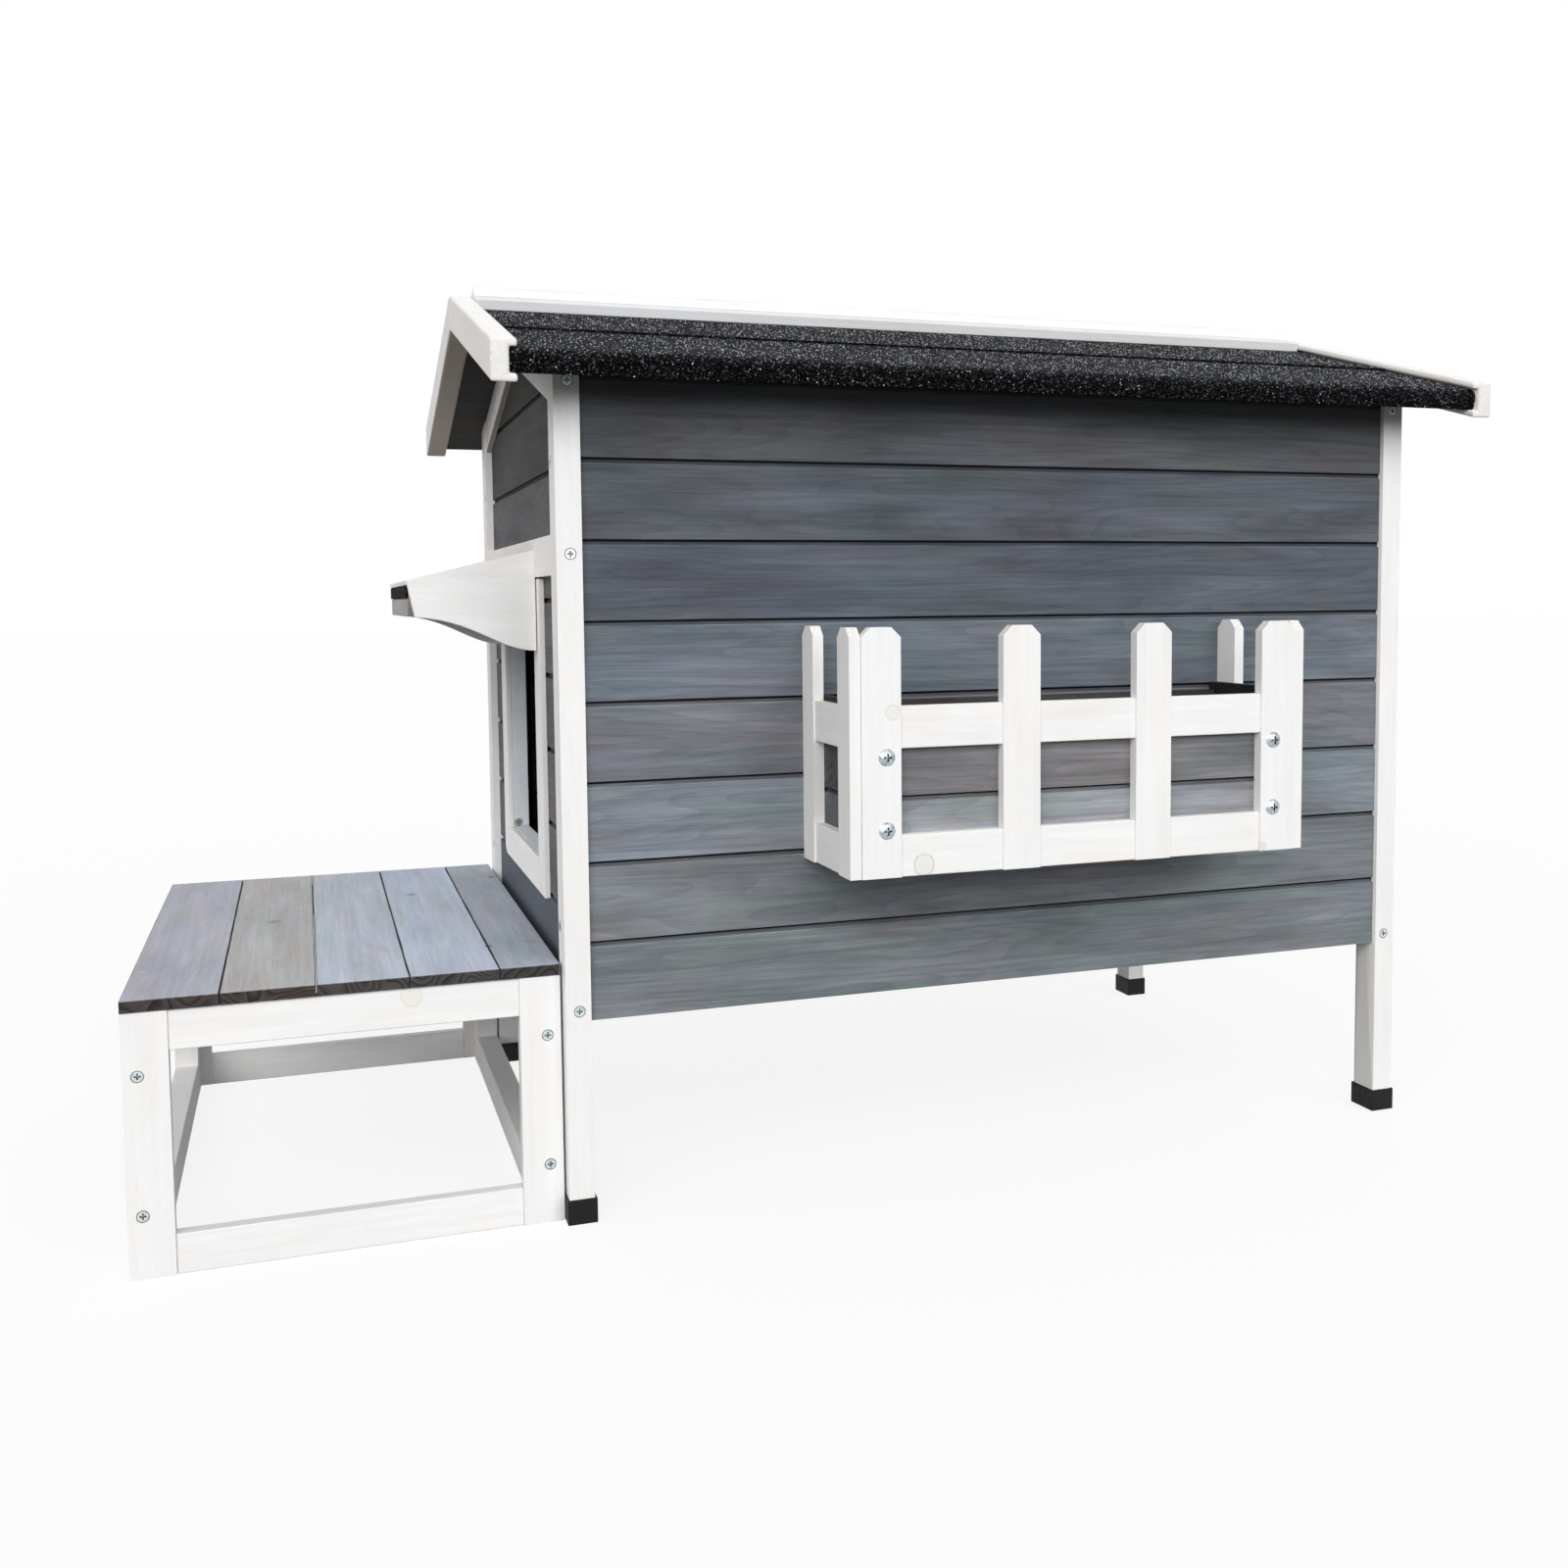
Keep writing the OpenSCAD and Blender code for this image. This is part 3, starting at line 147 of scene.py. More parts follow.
class Courses:
    """Boards side by side along an axis from a first edge, each with a tint of its own."""

    def __init__(self, axis, first, pitch, tints, reveal=0.0, recess=0.5, gap=0.0):
        self.axis, self.first, self.pitch, self.tints = axis, first, pitch, tints
        self.reveal, self.recess = reveal, recess    # height of the recess over a board's shoulder, and its light
        self.gap = gap                               # width of the dark line where two boards meet


# White wash on spruce: nearly opaque, and the wood warms it a little along the grain and on rubbed arrises; faces
# that look down get a warm painted shade
WHITE_WASH = Stain(
    green=(0.99, 1.0, 1.0), brown=(1.0, 0.97, 0.945), grain=(0.97, 0.92, 0.88), dark=0.2,
    end=((0.97, 0.96, 0.94), (0.93, 0.91, 0.88)), rub=("#c9b8a8", 0.45), under="#ece0d2",
    contrast=0.13, rough=0.6, bump=0.08, gloss=0.2)
# Grey stain on fir: thin and cold, clouding to green and to purple brown
GREY_STAIN = Stain(
    green=(0.95, 1.02, 0.93), brown=(1.03, 0.93, 0.9), grain=(0.62, 0.64, 0.67), dark=0.42,
    end=((0.5, 0.5, 0.5), (0.3, 0.3, 0.3)), rub=("#a9adb0", 0.5),
    contrast=1.0, rough=0.7, bump=0.22, gloss=0.1)
# The same stain brushed on thicker: smooth and dark, on the kick board and under the roof
THICK_STAIN = Stain(
    green=(0.97, 1.02, 0.96), brown=(1.03, 0.96, 0.93), grain=(0.75, 0.76, 0.78), dark=0.25,
    end=((0.6, 0.6, 0.6), (0.4, 0.4, 0.4)), rub=("#85898d", 0.3),
    contrast=0.6, rough=0.68, bump=0.12, gloss=0.12)
# Thin worn stain on the stool's planks, with end grain that drank it in
PLANK_STAIN = Stain(
    green=(0.97, 1.0, 0.95), brown=(1.03, 0.95, 0.89), grain=(0.7, 0.69, 0.7), dark=0.25,
    end=((0.15, 0.12, 0.1), (0.04, 0.032, 0.027)), rub=("#b4b8be", 0.3),
    contrast=0.52, rough=0.65, bump=0.2, gloss=0.15)

# How often the felt's pattern shows each shade: the share of grains below it, and the shade
FELT_SHADES = ((0.0, "#070708"), (0.38, "#141517"), (0.62, "#292b2e"), (0.8, "#4d5056"), (0.92, "#8b8e95"))
# Shades of the standing granules, by a number from 0 to 1 that each granule has
GRANULE_SHADES = (
    (0.0, "#08090a"), (0.42, "#1a1c1f"), (0.62, "#4f5359"), (0.78, "#989ba2"), (0.92, "#d0d2d6"), (1.0, "#f0f0f0"))


def stained_wood(name, colour, stain, turn, boards=None, other=None, mirrored=False, knots=()):
    """Planed softwood under a stain: growth rings show as long arched lines, with streaks and fibres between them.

    boards is a Courses, which gives each board its own grain and tint, and darkens what lies between two boards.
    other = (axis, middle, half width, turn) is for a node whose pieces between these planes run another way.
    mirrored is for a node with pieces on both slopes of the roof, whose grain is mirrored about the ridge.
    knots = (x, y, z, radius, ring colour, heart colour) each.
    """
    material, tree, shader = new_material(name)
    place = millimetres(tree)
    facing = add(tree, "TexCoord", output=1)
    normal = add(tree, "SeparateXYZ", {0: facing}).node
    base, way = place, facing
    if mirrored:
        # Behind the ridge the grain is mirrored, and begins elsewhere along the wood
        flat = add(tree, "SeparateXYZ", {0: place}).node
        from_middle = add(tree, "Math", {0: flat.outputs[1], 1: MIDDLE_Y}, operation="SUBTRACT")
        side = add(tree, "Math", {0: from_middle}, operation="SIGN")
        folded = add(tree, "Math", {0: from_middle}, operation="ABSOLUTE")
        away = add(tree, "Math", {0: side, 1: 700.0, 2: flat.outputs[0]}, operation="MULTIPLY_ADD")
        base = add(tree, "CombineXYZ", {0: away, 1: folded, 2: flat.outputs[2]})
        out = add(tree, "Math", {0: normal.outputs[1], 1: side}, operation="MULTIPLY")
        way = add(tree, "CombineXYZ", {0: normal.outputs[0], 1: out, 2: normal.outputs[2]})
    grain_way = add(tree, "VectorRotate", {"Vector": base, "Rotation": turn}, rotation_type="EULER_XYZ")
    way = add(tree, "VectorRotate", {"Vector": way, "Rotation": turn}, rotation_type="EULER_XYZ")
    if other:
        axis, middle, half, second_turn = other
        off = add(tree, "VectorMath", {0: place, 1: axis}, output=1, operation="DOT_PRODUCT")
        off = add(tree, "Math", {0: off, 1: middle, 2: half}, operation="COMPARE")
        second = add(tree, "VectorRotate", {"Vector": base, "Rotation": second_turn}, rotation_type="EULER_XYZ")
        grain_way = add(tree, "Mix", {0: off, 4: grain_way, 5: second}, output=1, data_type="VECTOR")
        second = add(tree, "VectorRotate", {"Vector": facing, "Rotation": second_turn}, rotation_type="EULER_XYZ")
        way = add(tree, "Mix", {0: off, 4: way, 5: second}, output=1, data_type="VECTOR")
    if boards:
        # A random place in the grain for each board
        across = add(tree, "VectorMath", {0: place, 1: boards.axis}, output=1, operation="DOT_PRODUCT")
        across = add(tree, "Math", {0: across, 1: boards.first}, operation="SUBTRACT")
        cell = add(tree, "Math", {0: across, 1: boards.pitch}, operation="DIVIDE")
        cell = add(tree, "Math", {0: cell}, operation="FLOOR")
        dice = add(tree, "TexWhiteNoise", {"W": cell}, output=1, noise_dimensions="1D")
        away = add(tree, "VectorMath", {0: dice, 1: (900.0, 400.0, 400.0)}, operation="MULTIPLY")
        grain_way = add(tree, "VectorMath", {0: grain_way, 1: away}, operation="ADD")

    # Growth rings: contour lines of a slow noise, 480 mm long and 44 mm wide, drawn out into long arches
    swell = add(tree, "Mapping", {"Vector": grain_way, "Scale": (1 / 480, 1 / 44, 1 / 44)})
    swell = add(tree, "TexNoise", {"Vector": swell, "Scale": 1.0, "Detail": 1.0, "Roughness": 0.4})
    rings = add(tree, "VectorMath", {0: grain_way, 1: (0.0, 0.05, 0.07)}, output=1, operation="DOT_PRODUCT")
    rings = add(tree, "Math", {0: swell, 1: 17.0, 2: rings}, operation="MULTIPLY_ADD")
    rings = add(tree, "Math", {0: rings}, operation="FRACT")
    rings = add(tree, "Math", {0: rings, 1: 2.6}, operation="POWER")
    # Streaks 6 mm wide and 240 mm long, brush marks 2 mm wide and 80 mm long, fibres 0.8 mm wide and 18 mm long
    strengths = ((6.0, 240, 0.75), (2.0, 80, 0.5), (0.8, 18, 0.4))
    patterns = []
    value = 1.0 - stain.contrast * sum(s[2] for s in strengths) / 2
    for width, length, strength in strengths:
        noise = add(tree, "Mapping", {"Vector": grain_way, "Scale": (1 / length, 1 / width, 1 / width)})
        noise = add(tree, "TexNoise", {"Vector": noise, "Scale": 1.0, "Detail": 3.0, "Roughness": 0.55})
        patterns.append(noise)
        value = add(tree, "Math", {0: noise, 1: stain.contrast * strength, 2: value}, operation="MULTIPLY_ADD")
    # Clouds of stain 150 mm long and 30 mm wide
    cloud = add(tree, "Mapping", {"Vector": grain_way, "Scale": (1 / 150, 1 / 30, 1 / 30)})
    cloud = add(tree, "TexNoise", {"Vector": cloud, "Scale": 1.0, "Detail": 3.0, "Roughness": 0.55}, output=1)
    cloud = add(tree, "SeparateColor", {0: cloud}).node
    depth = 0.22 * stain.contrast
    blotch = add(tree, "MapRange", {0: cloud.outputs[2], 1: 0.3, 2: 0.7, 3: 1 - depth, 4: 1 + depth})
    value = add(tree, "Math", {0: value, 1: blotch}, operation="MULTIPLY")

    plain = tinted(colour, (1.0, 1.0, 1.0))
    green = add(tree, "MapRange", {0: cloud.outputs[0], 1: 0.42, 2: 0.62})
    brown = add(tree, "MapRange", {0: cloud.outputs[1], 1: 0.46, 2: 0.66})
    paint = add(tree, "Mix", {0: green, 6: plain, 7: tinted(colour, stain.green)}, output=2, data_type="RGBA")
    paint = add(tree, "Mix", {0: brown, 6: paint, 7: tinted(colour, stain.brown)}, output=2, data_type="RGBA")
    late = add(tree, "Math", {0: rings, 1: stain.dark}, operation="MULTIPLY")
    paint = add(tree, "Mix", {0: late, 6: paint, 7: tinted(colour, stain.grain)}, output=2, data_type="RGBA")

    # End grain, which looks along the grain, shows the rings as bands
    along = add(tree, "SeparateXYZ", {0: way}).node
    bare = [add(tree, "Math", {0: along.outputs[i]}, operation="ABSOLUTE") for i in range(3)]
    cut_end = add(tree, "MapRange", {0: bare[0], 1: 0.8, 2: 0.95})
    bands = add(tree, "Math", {0: patterns[1], 1: 0.9, 2: rings}, operation="MULTIPLY_ADD")
    bands = add(tree, "MapRange", {0: bands, 1: 0.3, 2: 1.2})
    early, late = (tinted(colour, tint) for tint in stain.end)
    end = add(tree, "Mix", {0: bands, 6: early, 7: late}, output=2, data_type="RGBA")
    paint = add(tree, "Mix", {0: cut_end, 6: paint, 7: end}, output=2, data_type="RGBA")

    # Faces that look down get a warmer, darker colour: painted shade
    if stain.under:
        down = add(tree, "MapRange", {0: normal.outputs[2], 1: -0.5, 2: -0.8})
        paint = add(tree, "Mix", {0: down, 6: paint, 7: linear(stain.under)}, output=2, data_type="RGBA")

    # Arrises, which face between two sides of the board, are rubbed here and there
    square = add(tree, "Math", {0: bare[0], 1: bare[1]}, operation="MAXIMUM")
    square = add(tree, "Math", {0: square, 1: bare[2]}, operation="MAXIMUM")
    arris = add(tree, "MapRange", {0: square, 1: 0.985, 2: 0.9})
    worn = add(tree, "MapRange", {0: patterns[1], 1: 0.38, 2: 0.62})
    arris = add(tree, "Math", {0: arris, 1: worn}, operation="MULTIPLY")
    arris = add(tree, "Math", {0: arris, 1: stain.rub[1]}, operation="MULTIPLY")
    paint = add(tree, "Mix", {0: arris, 6: paint, 7: linear(stain.rub[0])}, output=2, data_type="RGBA")

    if boards:
        # Each board gets its tint, which the ramp holds at half strength
        number = add(tree, "Math", {0: cell, 1: 0.5}, operation="ADD")
        number = add(tree, "Math", {0: number, 1: len(boards.tints)}, operation="DIVIDE")
        stops = [(i / len(boards.tints), tinted((0.5, 0.5, 0.5), tint)) for i, tint in enumerate(boards.tints)]
        tint = add(tree, "ValToRGB", {0: number}, stops=stops, sharp=True)
        paint = add(tree, "Mix", {0: 1.0, 6: paint, 7: tint}, output=2, data_type="RGBA", blend_type="MULTIPLY")
        value = add(tree, "Math", {0: value, 1: 2.0}, operation="MULTIPLY")
        depth = add(tree, "Math", {0: across, 1: boards.pitch}, operation="FLOORED_MODULO")
        if boards.reveal:
            # The recess over a shoulder is in shade, and the joint at its top is a dark, slightly uneven line
            start = boards.pitch - boards.reveal
            shade = add(tree, "MapRange", {0: depth, 1: start - 0.3, 2: start + 0.1, 3: 1.0, 4: boards.recess})
            value = add(tree, "Math", {0: value, 1: shade}, operation="MULTIPLY")
            wave = add(tree, "Math", {0: patterns[0], 1: 1.2, 2: depth}, operation="MULTIPLY_ADD")
            shade = add(tree, "MapRange", {0: wave, 1: boards.pitch - 1.9, 2: boards.pitch - 1.0, 3: 1.0, 4: 0.04})
            value = add(tree, "Math", {0: value, 1: shade}, operation="MULTIPLY")
        if boards.gap:
            # The joint is half in either board
            away = add(tree, "Math", {0: depth, 1: boards.pitch / 2}, operation="SUBTRACT")
            away = add(tree, "Math", {0: away}, operation="ABSOLUTE")
            wave = add(tree, "Math", {0: patterns[1], 1: 2.0, 2: away}, operation="MULTIPLY_ADD")
            edge = boards.pitch / 2 + 1.0 - boards.gap / 2
            shade = add(tree, "MapRange", {0: wave, 1: edge - 0.4, 2: edge + 0.2, 3: 1.0, 4: 0.1})
            value = add(tree, "Math", {0: value, 1: shade}, operation="MULTIPLY")
    paint = add(tree, "HueSaturation", {"Value": value, "Color": paint})

    # Knots, each a thin ring round a heart
    for x, y, z, radius, ring_colour, heart_colour in knots:
        off = add(tree, "VectorMath", {0: place, 1: (x, y, z)}, output=1, operation="DISTANCE")
        off = add(tree, "Math", {0: patterns[1], 1: radius * 0.5, 2: off}, operation="MULTIPLY_ADD")
        off = add(tree, "Math", {0: off, 1: radius * 1.25}, operation="DIVIDE")
        heart = add(tree, "MapRange", {0: off, 1: 1.0, 2: 0.7, 4: 0.75}, interpolation_type="SMOOTHSTEP")
        paint = add(tree, "Mix", {0: heart, 6: paint, 7: linear(heart_colour)}, output=2, data_type="RGBA")
        ring = add(tree, "Math", {0: off, 1: 1.0}, operation="SUBTRACT")
        ring = add(tree, "Math", {0: ring}, operation="ABSOLUTE")
        ring = add(tree, "MapRange", {0: ring, 1: 0.16, 2: 0.0, 4: 0.7}, interpolation_type="SMOOTHSTEP")
        paint = add(tree, "Mix", {0: ring, 6: paint, 7: linear(ring_colour)}, output=2, data_type="RGBA")

    rough = add(tree, "MapRange", {0: patterns[0], 1: 0.3, 2: 0.7, 3: stain.rough - 0.06, 4: stain.rough + 0.08})
    shader.inputs["Specular IOR Level"].default_value = stain.gloss
    height = add(tree, "Math", {0: patterns[1], 1: 0.7, 2: patterns[2]}, operation="MULTIPLY_ADD")
    bump = add(tree, "Bump", {"Strength": stain.bump * 2, "Distance": 0.4 * MM, "Height": height})
    coat(tree, shader, paint, rough, bump)
    return material


def seen_directly(tree):
    """1 for a ray from the camera, or one that gloss or glass sends on, and 0 for light on the object."""
    path = add(tree, "LightPath").node
    seen = add(tree, "Math", {0: path.outputs["Is Camera Ray"], 1: path.outputs["Is Glossy Ray"]},
               operation="MAXIMUM")
    return add(tree, "Math", {0: seen, 1: path.outputs["Is Transmission Ray"]}, operation="MAXIMUM")


def granule_felt():
    """Bitumen roofing felt rolled with slate granules: black and matt, with grey, bluish and a few pale grains.

    Real granules are about 1 mm; they are drawn 1.2 mm across so that they show.
    Where the felt bends down over the eave, the granules have come off and the bitumen shows; the felt's colour is
    also painted darker there as shade, and a little lighter where it faces up.
    """
    material, tree, shader = new_material("bitumen_felt_rolled_with_slate_granules")
    place = millimetres(tree)
    wobble = add(tree, "TexNoise", {"Vector": place, "Scale": 0.9, "Detail": 1.0}, output=1)
    place = add(tree, "VectorMath", {0: wobble, 1: (1.2, 1.2, 1.2), 2: place}, operation="MULTIPLY_ADD")
    grains = add(tree, "TexVoronoi", {"Vector": place, "Scale": 1 / 1.2}).node
    dice = add(tree, "SeparateColor", {0: grains.outputs["Color"]}).node
    stops = [(position, linear(shade)) for position, shade in FELT_SHADES]
    colour = add(tree, "ValToRGB", {0: dice.outputs[0]}, stops=stops, sharp=True)
    tint = add(tree, "TexNoise", {"Vector": place, "Scale": 1 / 30, "Detail": 2.0})
    tint = add(tree, "MapRange", {0: tint, 1: 0.35, 2: 0.65, 3: 0.8, 4: 1.15})
    seam = add(tree, "MapRange", {0: grains.outputs["Distance"], 1: 0.75, 2: 0.35, 3: 0.25, 4: 1.0})
    value = add(tree, "Math", {0: tint, 1: seam}, operation="MULTIPLY")
    # Painted shade: darker where the felt faces forward or down, lighter where it faces up
    facing = add(tree, "SeparateXYZ", {0: add(tree, "TexCoord", output=1)}).node
    painted_facing_shade = add(tree, "MapRange", {0: facing.outputs[2], 1: 0.2, 2: 0.85, 3: 0.4, 4: 1.15})
    value = add(tree, "Math", {0: value, 1: painted_facing_shade}, operation="MULTIPLY")
    colour = add(tree, "HueSaturation", {"Value": value, "Color": colour})
    rough = add(tree, "MapRange", {0: dice.outputs[1], 3: 0.7, 4: 0.95})
    shader.inputs["Specular IOR Level"].default_value = 0.04
    height = add(tree, "MapRange", {0: grains.outputs["Distance"], 1: 0.0, 2: 0.7, 3: 1.0, 4: 0.0})
    height = add(tree, "Math", {0: height, 1: dice.outputs[2]}, operation="MULTIPLY")
    bump = add(tree, "Bump", {"Strength": 0.9, "Distance": 0.8 * MM, "Height": height})
    coat(tree, shader, colour, rough, bump)
    return material


def slate_granules():
    """Crushed slate and a little quartz, bedded in bitumen: dull facets, each granule in its own grey."""
    material, tree, shader = new_material("slate_granules_crushed")
    shade = add(tree, "Attribute", attribute_name="shade", output=2)
    stops = [(position, linear(grey)) for position, grey in GRANULE_SHADES]
    colour = add(tree, "ValToRGB", {0: shade}, stops=stops)
    place = millimetres(tree)
    grit = add(tree, "TexNoise", {"Vector": place, "Scale": 1 / 0.5, "Detail": 2.0})
    value = add(tree, "MapRange", {0: grit, 1: 0.3, 2: 0.7, 3: 0.8, 4: 1.15})
    colour = add(tree, "HueSaturation", {"Value": value, "Color": colour})
    rough = add(tree, "MapRange", {0: grit, 3: 0.55, 4: 0.9})
    shader.inputs["Specular IOR Level"].default_value = 0.1
    bump = add(tree, "Bump", {"Strength": 0.2, "Distance": 0.2 * MM, "Height": grit})
    coat(tree, shader, colour, rough, bump)
    return material


def moulded_rubber():
    """Black rubber, moulded: matt, with a trace of dust on it."""
    material, tree, shader = new_material("black_rubber_moulded")
    place = millimetres(tree)
    dust = add(tree, "TexNoise", {"Vector": place, "Scale": 1 / 6, "Detail": 4.0})
    dust = add(tree, "MapRange", {0: dust, 1: 0.45, 2: 0.75, 4: 0.3})
    black = linear("#080808")
    colour = add(tree, "Mix", {0: dust, 6: black, 7: linear("#1c1c1d")}, output=2, data_type="RGBA")
    rough = add(tree, "MapRange", {0: dust, 2: 0.3, 3: 0.5, 4: 0.75})
    shader.inputs["Specular IOR Level"].default_value = 0.25
    grit = add(tree, "TexNoise", {"Vector": place, "Scale": 1 / 0.7, "Detail": 1.0})
    bump = add(tree, "Bump", {"Strength": 0.15, "Distance": 0.3 * MM, "Height": grit})
    coat(tree, shader, colour, rough, bump)
    return material


def zinc_plate(name, dull, bright):
    """Steel, zinc plated: half shiny, mottled from a dull to a bright tone, with painted shade in hollows such as
    the cross of a screw.
    """
    material, tree, shader = new_material(name)
    place = millimetres(tree)
    spots = add(tree, "TexNoise", {"Vector": place, "Scale": 1 / 2.5, "Detail": 3.0})
    spots = add(tree, "MapRange", {0: spots, 1: 0.35, 2: 0.65})
    colour = add(tree, "Mix", {0: spots, 6: linear(dull), 7: linear(bright)}, output=2, data_type="RGBA")
    # Painted shade where ambient occlusion finds a hollow: the cross of a screw, and a head's rim by the wood
    occlusion_shade = add(tree, "AmbientOcclusion", {1: 3 * MM}, output=1, samples=8)
    occlusion_shade = add(tree, "MapRange", {0: occlusion_shade, 1: 0.75, 2: 0.5})
    colour = add(tree, "Mix", {0: occlusion_shade, 6: colour, 7: linear("#17191b")}, output=2, data_type="RGBA")
    rough = add(tree, "MapRange", {0: spots, 3: 0.46, 4: 0.3})
    shader.inputs["Metallic"].default_value = 1.0
    coat(tree, shader, colour, rough)
    return material


def countersink_shade_wood():
    """A dark ring round a countersunk screw: painted shade in the countersink, mottled and uneven."""
    material, tree, shader = new_material("spruce_countersink_painted_shade")
    place = millimetres(tree)
    mottle = add(tree, "TexNoise", {"Vector": place, "Scale": 1 / 1.2, "Detail": 3.0})
    amount = add(tree, "MapRange", {0: mottle, 1: 0.35, 2: 0.65})
    colour = add(tree, "Mix", {0: amount, 6: linear("#2c2b2c"), 7: linear("#77736f")}, output=2, data_type="RGBA")
    shader.inputs["Roughness"].default_value = 0.9
    bump = add(tree, "Bump", {"Strength": 0.4, "Distance": 0.3 * MM, "Height": mottle})
    coat(tree, shader, colour, bump=bump)
    return material


def dress(material, *names, rounded=True, radius=None):
    """Gives CAD nodes a material, and wooden ones planed edges whose corners are rounded off."""
    for name in names:
        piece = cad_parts[name]
        for slot in piece.material_slots:
            slot.material = material
        if rounded:
            weld = piece.modifiers.new("joined", "WELD")
            weld.merge_threshold = 0.02 * MM
            flat = piece.modifiers.new("flat_faces", "DECIMATE")
            flat.decimate_type = "DISSOLVE"
            flat.angle_limit = math.radians(1)
            edge = piece.modifiers.new("planed_edges", "BEVEL")
            edge.width = radius or bpy.context.scene.cat_house_sizes.edge_round
            edge.segments = 2
            edge.limit_method = "ANGLE"
            edge.angle_limit = math.radians(35)
            edge.use_clamp_overlap = True


def new_piece(name, points, faces, material, body, smooth=False):
    """A piece of the visual model from points in metres, which rides on a body."""
    mesh = bpy.data.meshes.new(name)
    mesh.from_pydata(points, [], faces)
    mesh.materials.append(material)
    if smooth:
        for face in mesh.polygons:
            face.use_smooth = True
    piece = bpy.data.objects.new(name, mesh)
    bpy.context.scene.collection.objects.link(piece)
    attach(piece, body)
    return piece


def band_faces(first, rings, count, closed):
    """Quads between rings of count points each, the first point being number first."""
    faces = []
    for ring in range(rings - 1):
        start = first + ring * count
        for i in range(count if closed else count - 1):
            a, b = start + i, start + (i + 1) % count
            faces.append((a, b, b + count, a + count))
    return faces


def granules(felt, covers, outward, uphill, material, body, spacing, seed):
    """Granules standing on a felt node: tilted, uneven octahedra, about one to each spacing squared.

    Faces under the covers or just downhill of them get none, nor do those that look down or inward.
    """
    dice = numpy.random.default_rng(seed)
    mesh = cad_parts[felt].data
    mesh.calc_loop_triangles()
    corners = numpy.array([[mesh.vertices[i].co for i in t.vertices] for t in mesh.loop_triangles])
    across, along = corners[:, 1] - corners[:, 0], corners[:, 2] - corners[:, 0]
    ways = numpy.cross(across, along)
    areas = numpy.linalg.norm(ways, axis=1) / 2
    ways = ways / (2 * areas[:, None])
    level, steep, under = 0.6, 0.5, -0.35    # upward part of a face's normal
    open_faces = (ways[:, 2] > steep) | ((ways @ numpy.array(outward) > 0.3) & (ways[:, 2] > under))
    areas = areas * open_faces * numpy.where(ways[:, 2] > level, 1.0, 0.45)
    count = int(areas.sum() / spacing ** 2)
    pick = dice.choice(len(areas), count, p=areas / areas.sum())
    a, b = dice.random((2, count, 1))
    a, b = numpy.where(a + b > 1, 1 - a, a), numpy.where(a + b > 1, 1 - b, b)
    places = corners[pick, 0] + a * across[pick] + b * along[pick]
    ways = ways[pick]
    trees = []
    for cover in covers:
        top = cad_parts[cover].data
        trees.append(BVHTree.FromPolygons([v.co for v in top.vertices], [p.vertices[:] for p in top.polygons]))
    looks = numpy.concatenate((ways, ways * 0.15 + numpy.array(uphill)), axis=1)
    reach, lift = 8 * MM, 0.1 * MM
    bare = [
        not any(tree.ray_cast(Vector(place + look[:3] * lift), Vector(way), reach)[0]
                for tree in trees for way in (look[:3], look[3:]))
        for place, look in zip(places, looks)]
    places, ways = places[bare], ways[bare]
    count = len(places)

    octahedron = numpy.array([(1, 0, 0), (0, 1, 0), (-1, 0, 0), (0, -1, 0), (0, 0, 1), (0, 0, -1)], dtype=float)
    facets = numpy.array([
        (0, 1, 4), (1, 2, 4), (2, 3, 4), (3, 0, 4), (1, 0, 5), (2, 1, 5), (3, 2, 5), (0, 3, 5)])
    corners_each = len(octahedron)
    half = dice.uniform(0.4, 0.85, (count, 1, 3)) * numpy.array((1, 1, 0.8)) * MM
    points = octahedron + dice.uniform(-0.25, 0.25, (count, corners_each, 3))
    points = points * half
    turn = dice.uniform(0, 2 * math.pi, (count, 1))
    cos, sin = numpy.cos(turn), numpy.sin(turn)
    x, y, z = points[..., 0], points[..., 1], points[..., 2]
    points = numpy.stack((x * cos - y * sin, x * sin + y * cos, z), axis=-1)
    side = numpy.cross(ways, (1.0, 0.0, 0.0))
    side = side / numpy.linalg.norm(side, axis=1)[:, None]
    front = numpy.cross(side, ways)
    points = (points[..., :1] * front[:, None] + points[..., 1:2] * side[:, None]
              + (points[..., 2:] + 0.25 * MM) * ways[:, None] + places[:, None])
    faces = facets[None] + corners_each * numpy.arange(count)[:, None, None]
    points, faces = points.reshape(-1, 3).tolist(), faces.reshape(-1, 3).tolist()
    piece = new_piece(felt + "_granules", points, faces, material, body)
    shade = piece.data.attributes.new("shade", "FLOAT", "POINT")
    shade.data.foreach_set("value", numpy.repeat(dice.random(count), corners_each).astype(numpy.float32))


def screw_places():
    """Centre and outward direction of every countersunk screw head in the posts and the stool."""
    outward = (-1, 1)
    left, right = -296.15, 613.8
    for y, out in zip(POST_FACES_Y, outward):
        for x, z in ((left, 203), (left, 628.5), (left, 785.45), (right, 203), (right, 785.45)):
            yield (x, y, z), (0, out, 0)
    for x, out in zip(POST_FACES_X, outward):
        for y in (-222.75, 290.25):
            for z in (280, 714):
                yield (x, y, z), (out, 0, 0)
    for y, out in zip(STOOL_FACES_Y, outward):
        for x in (-677.3, -324.35):
            for z in (56, 179.8):
                yield (x, y, z), (0, out, 0)


# What the properties have in common
LENGTH = {"precision": 4, "subtype": "DISTANCE", "unit": "LENGTH"}
COLOUR = {"size": 4, "subtype": "COLOR", "min": 0.0, "max": 1.0}


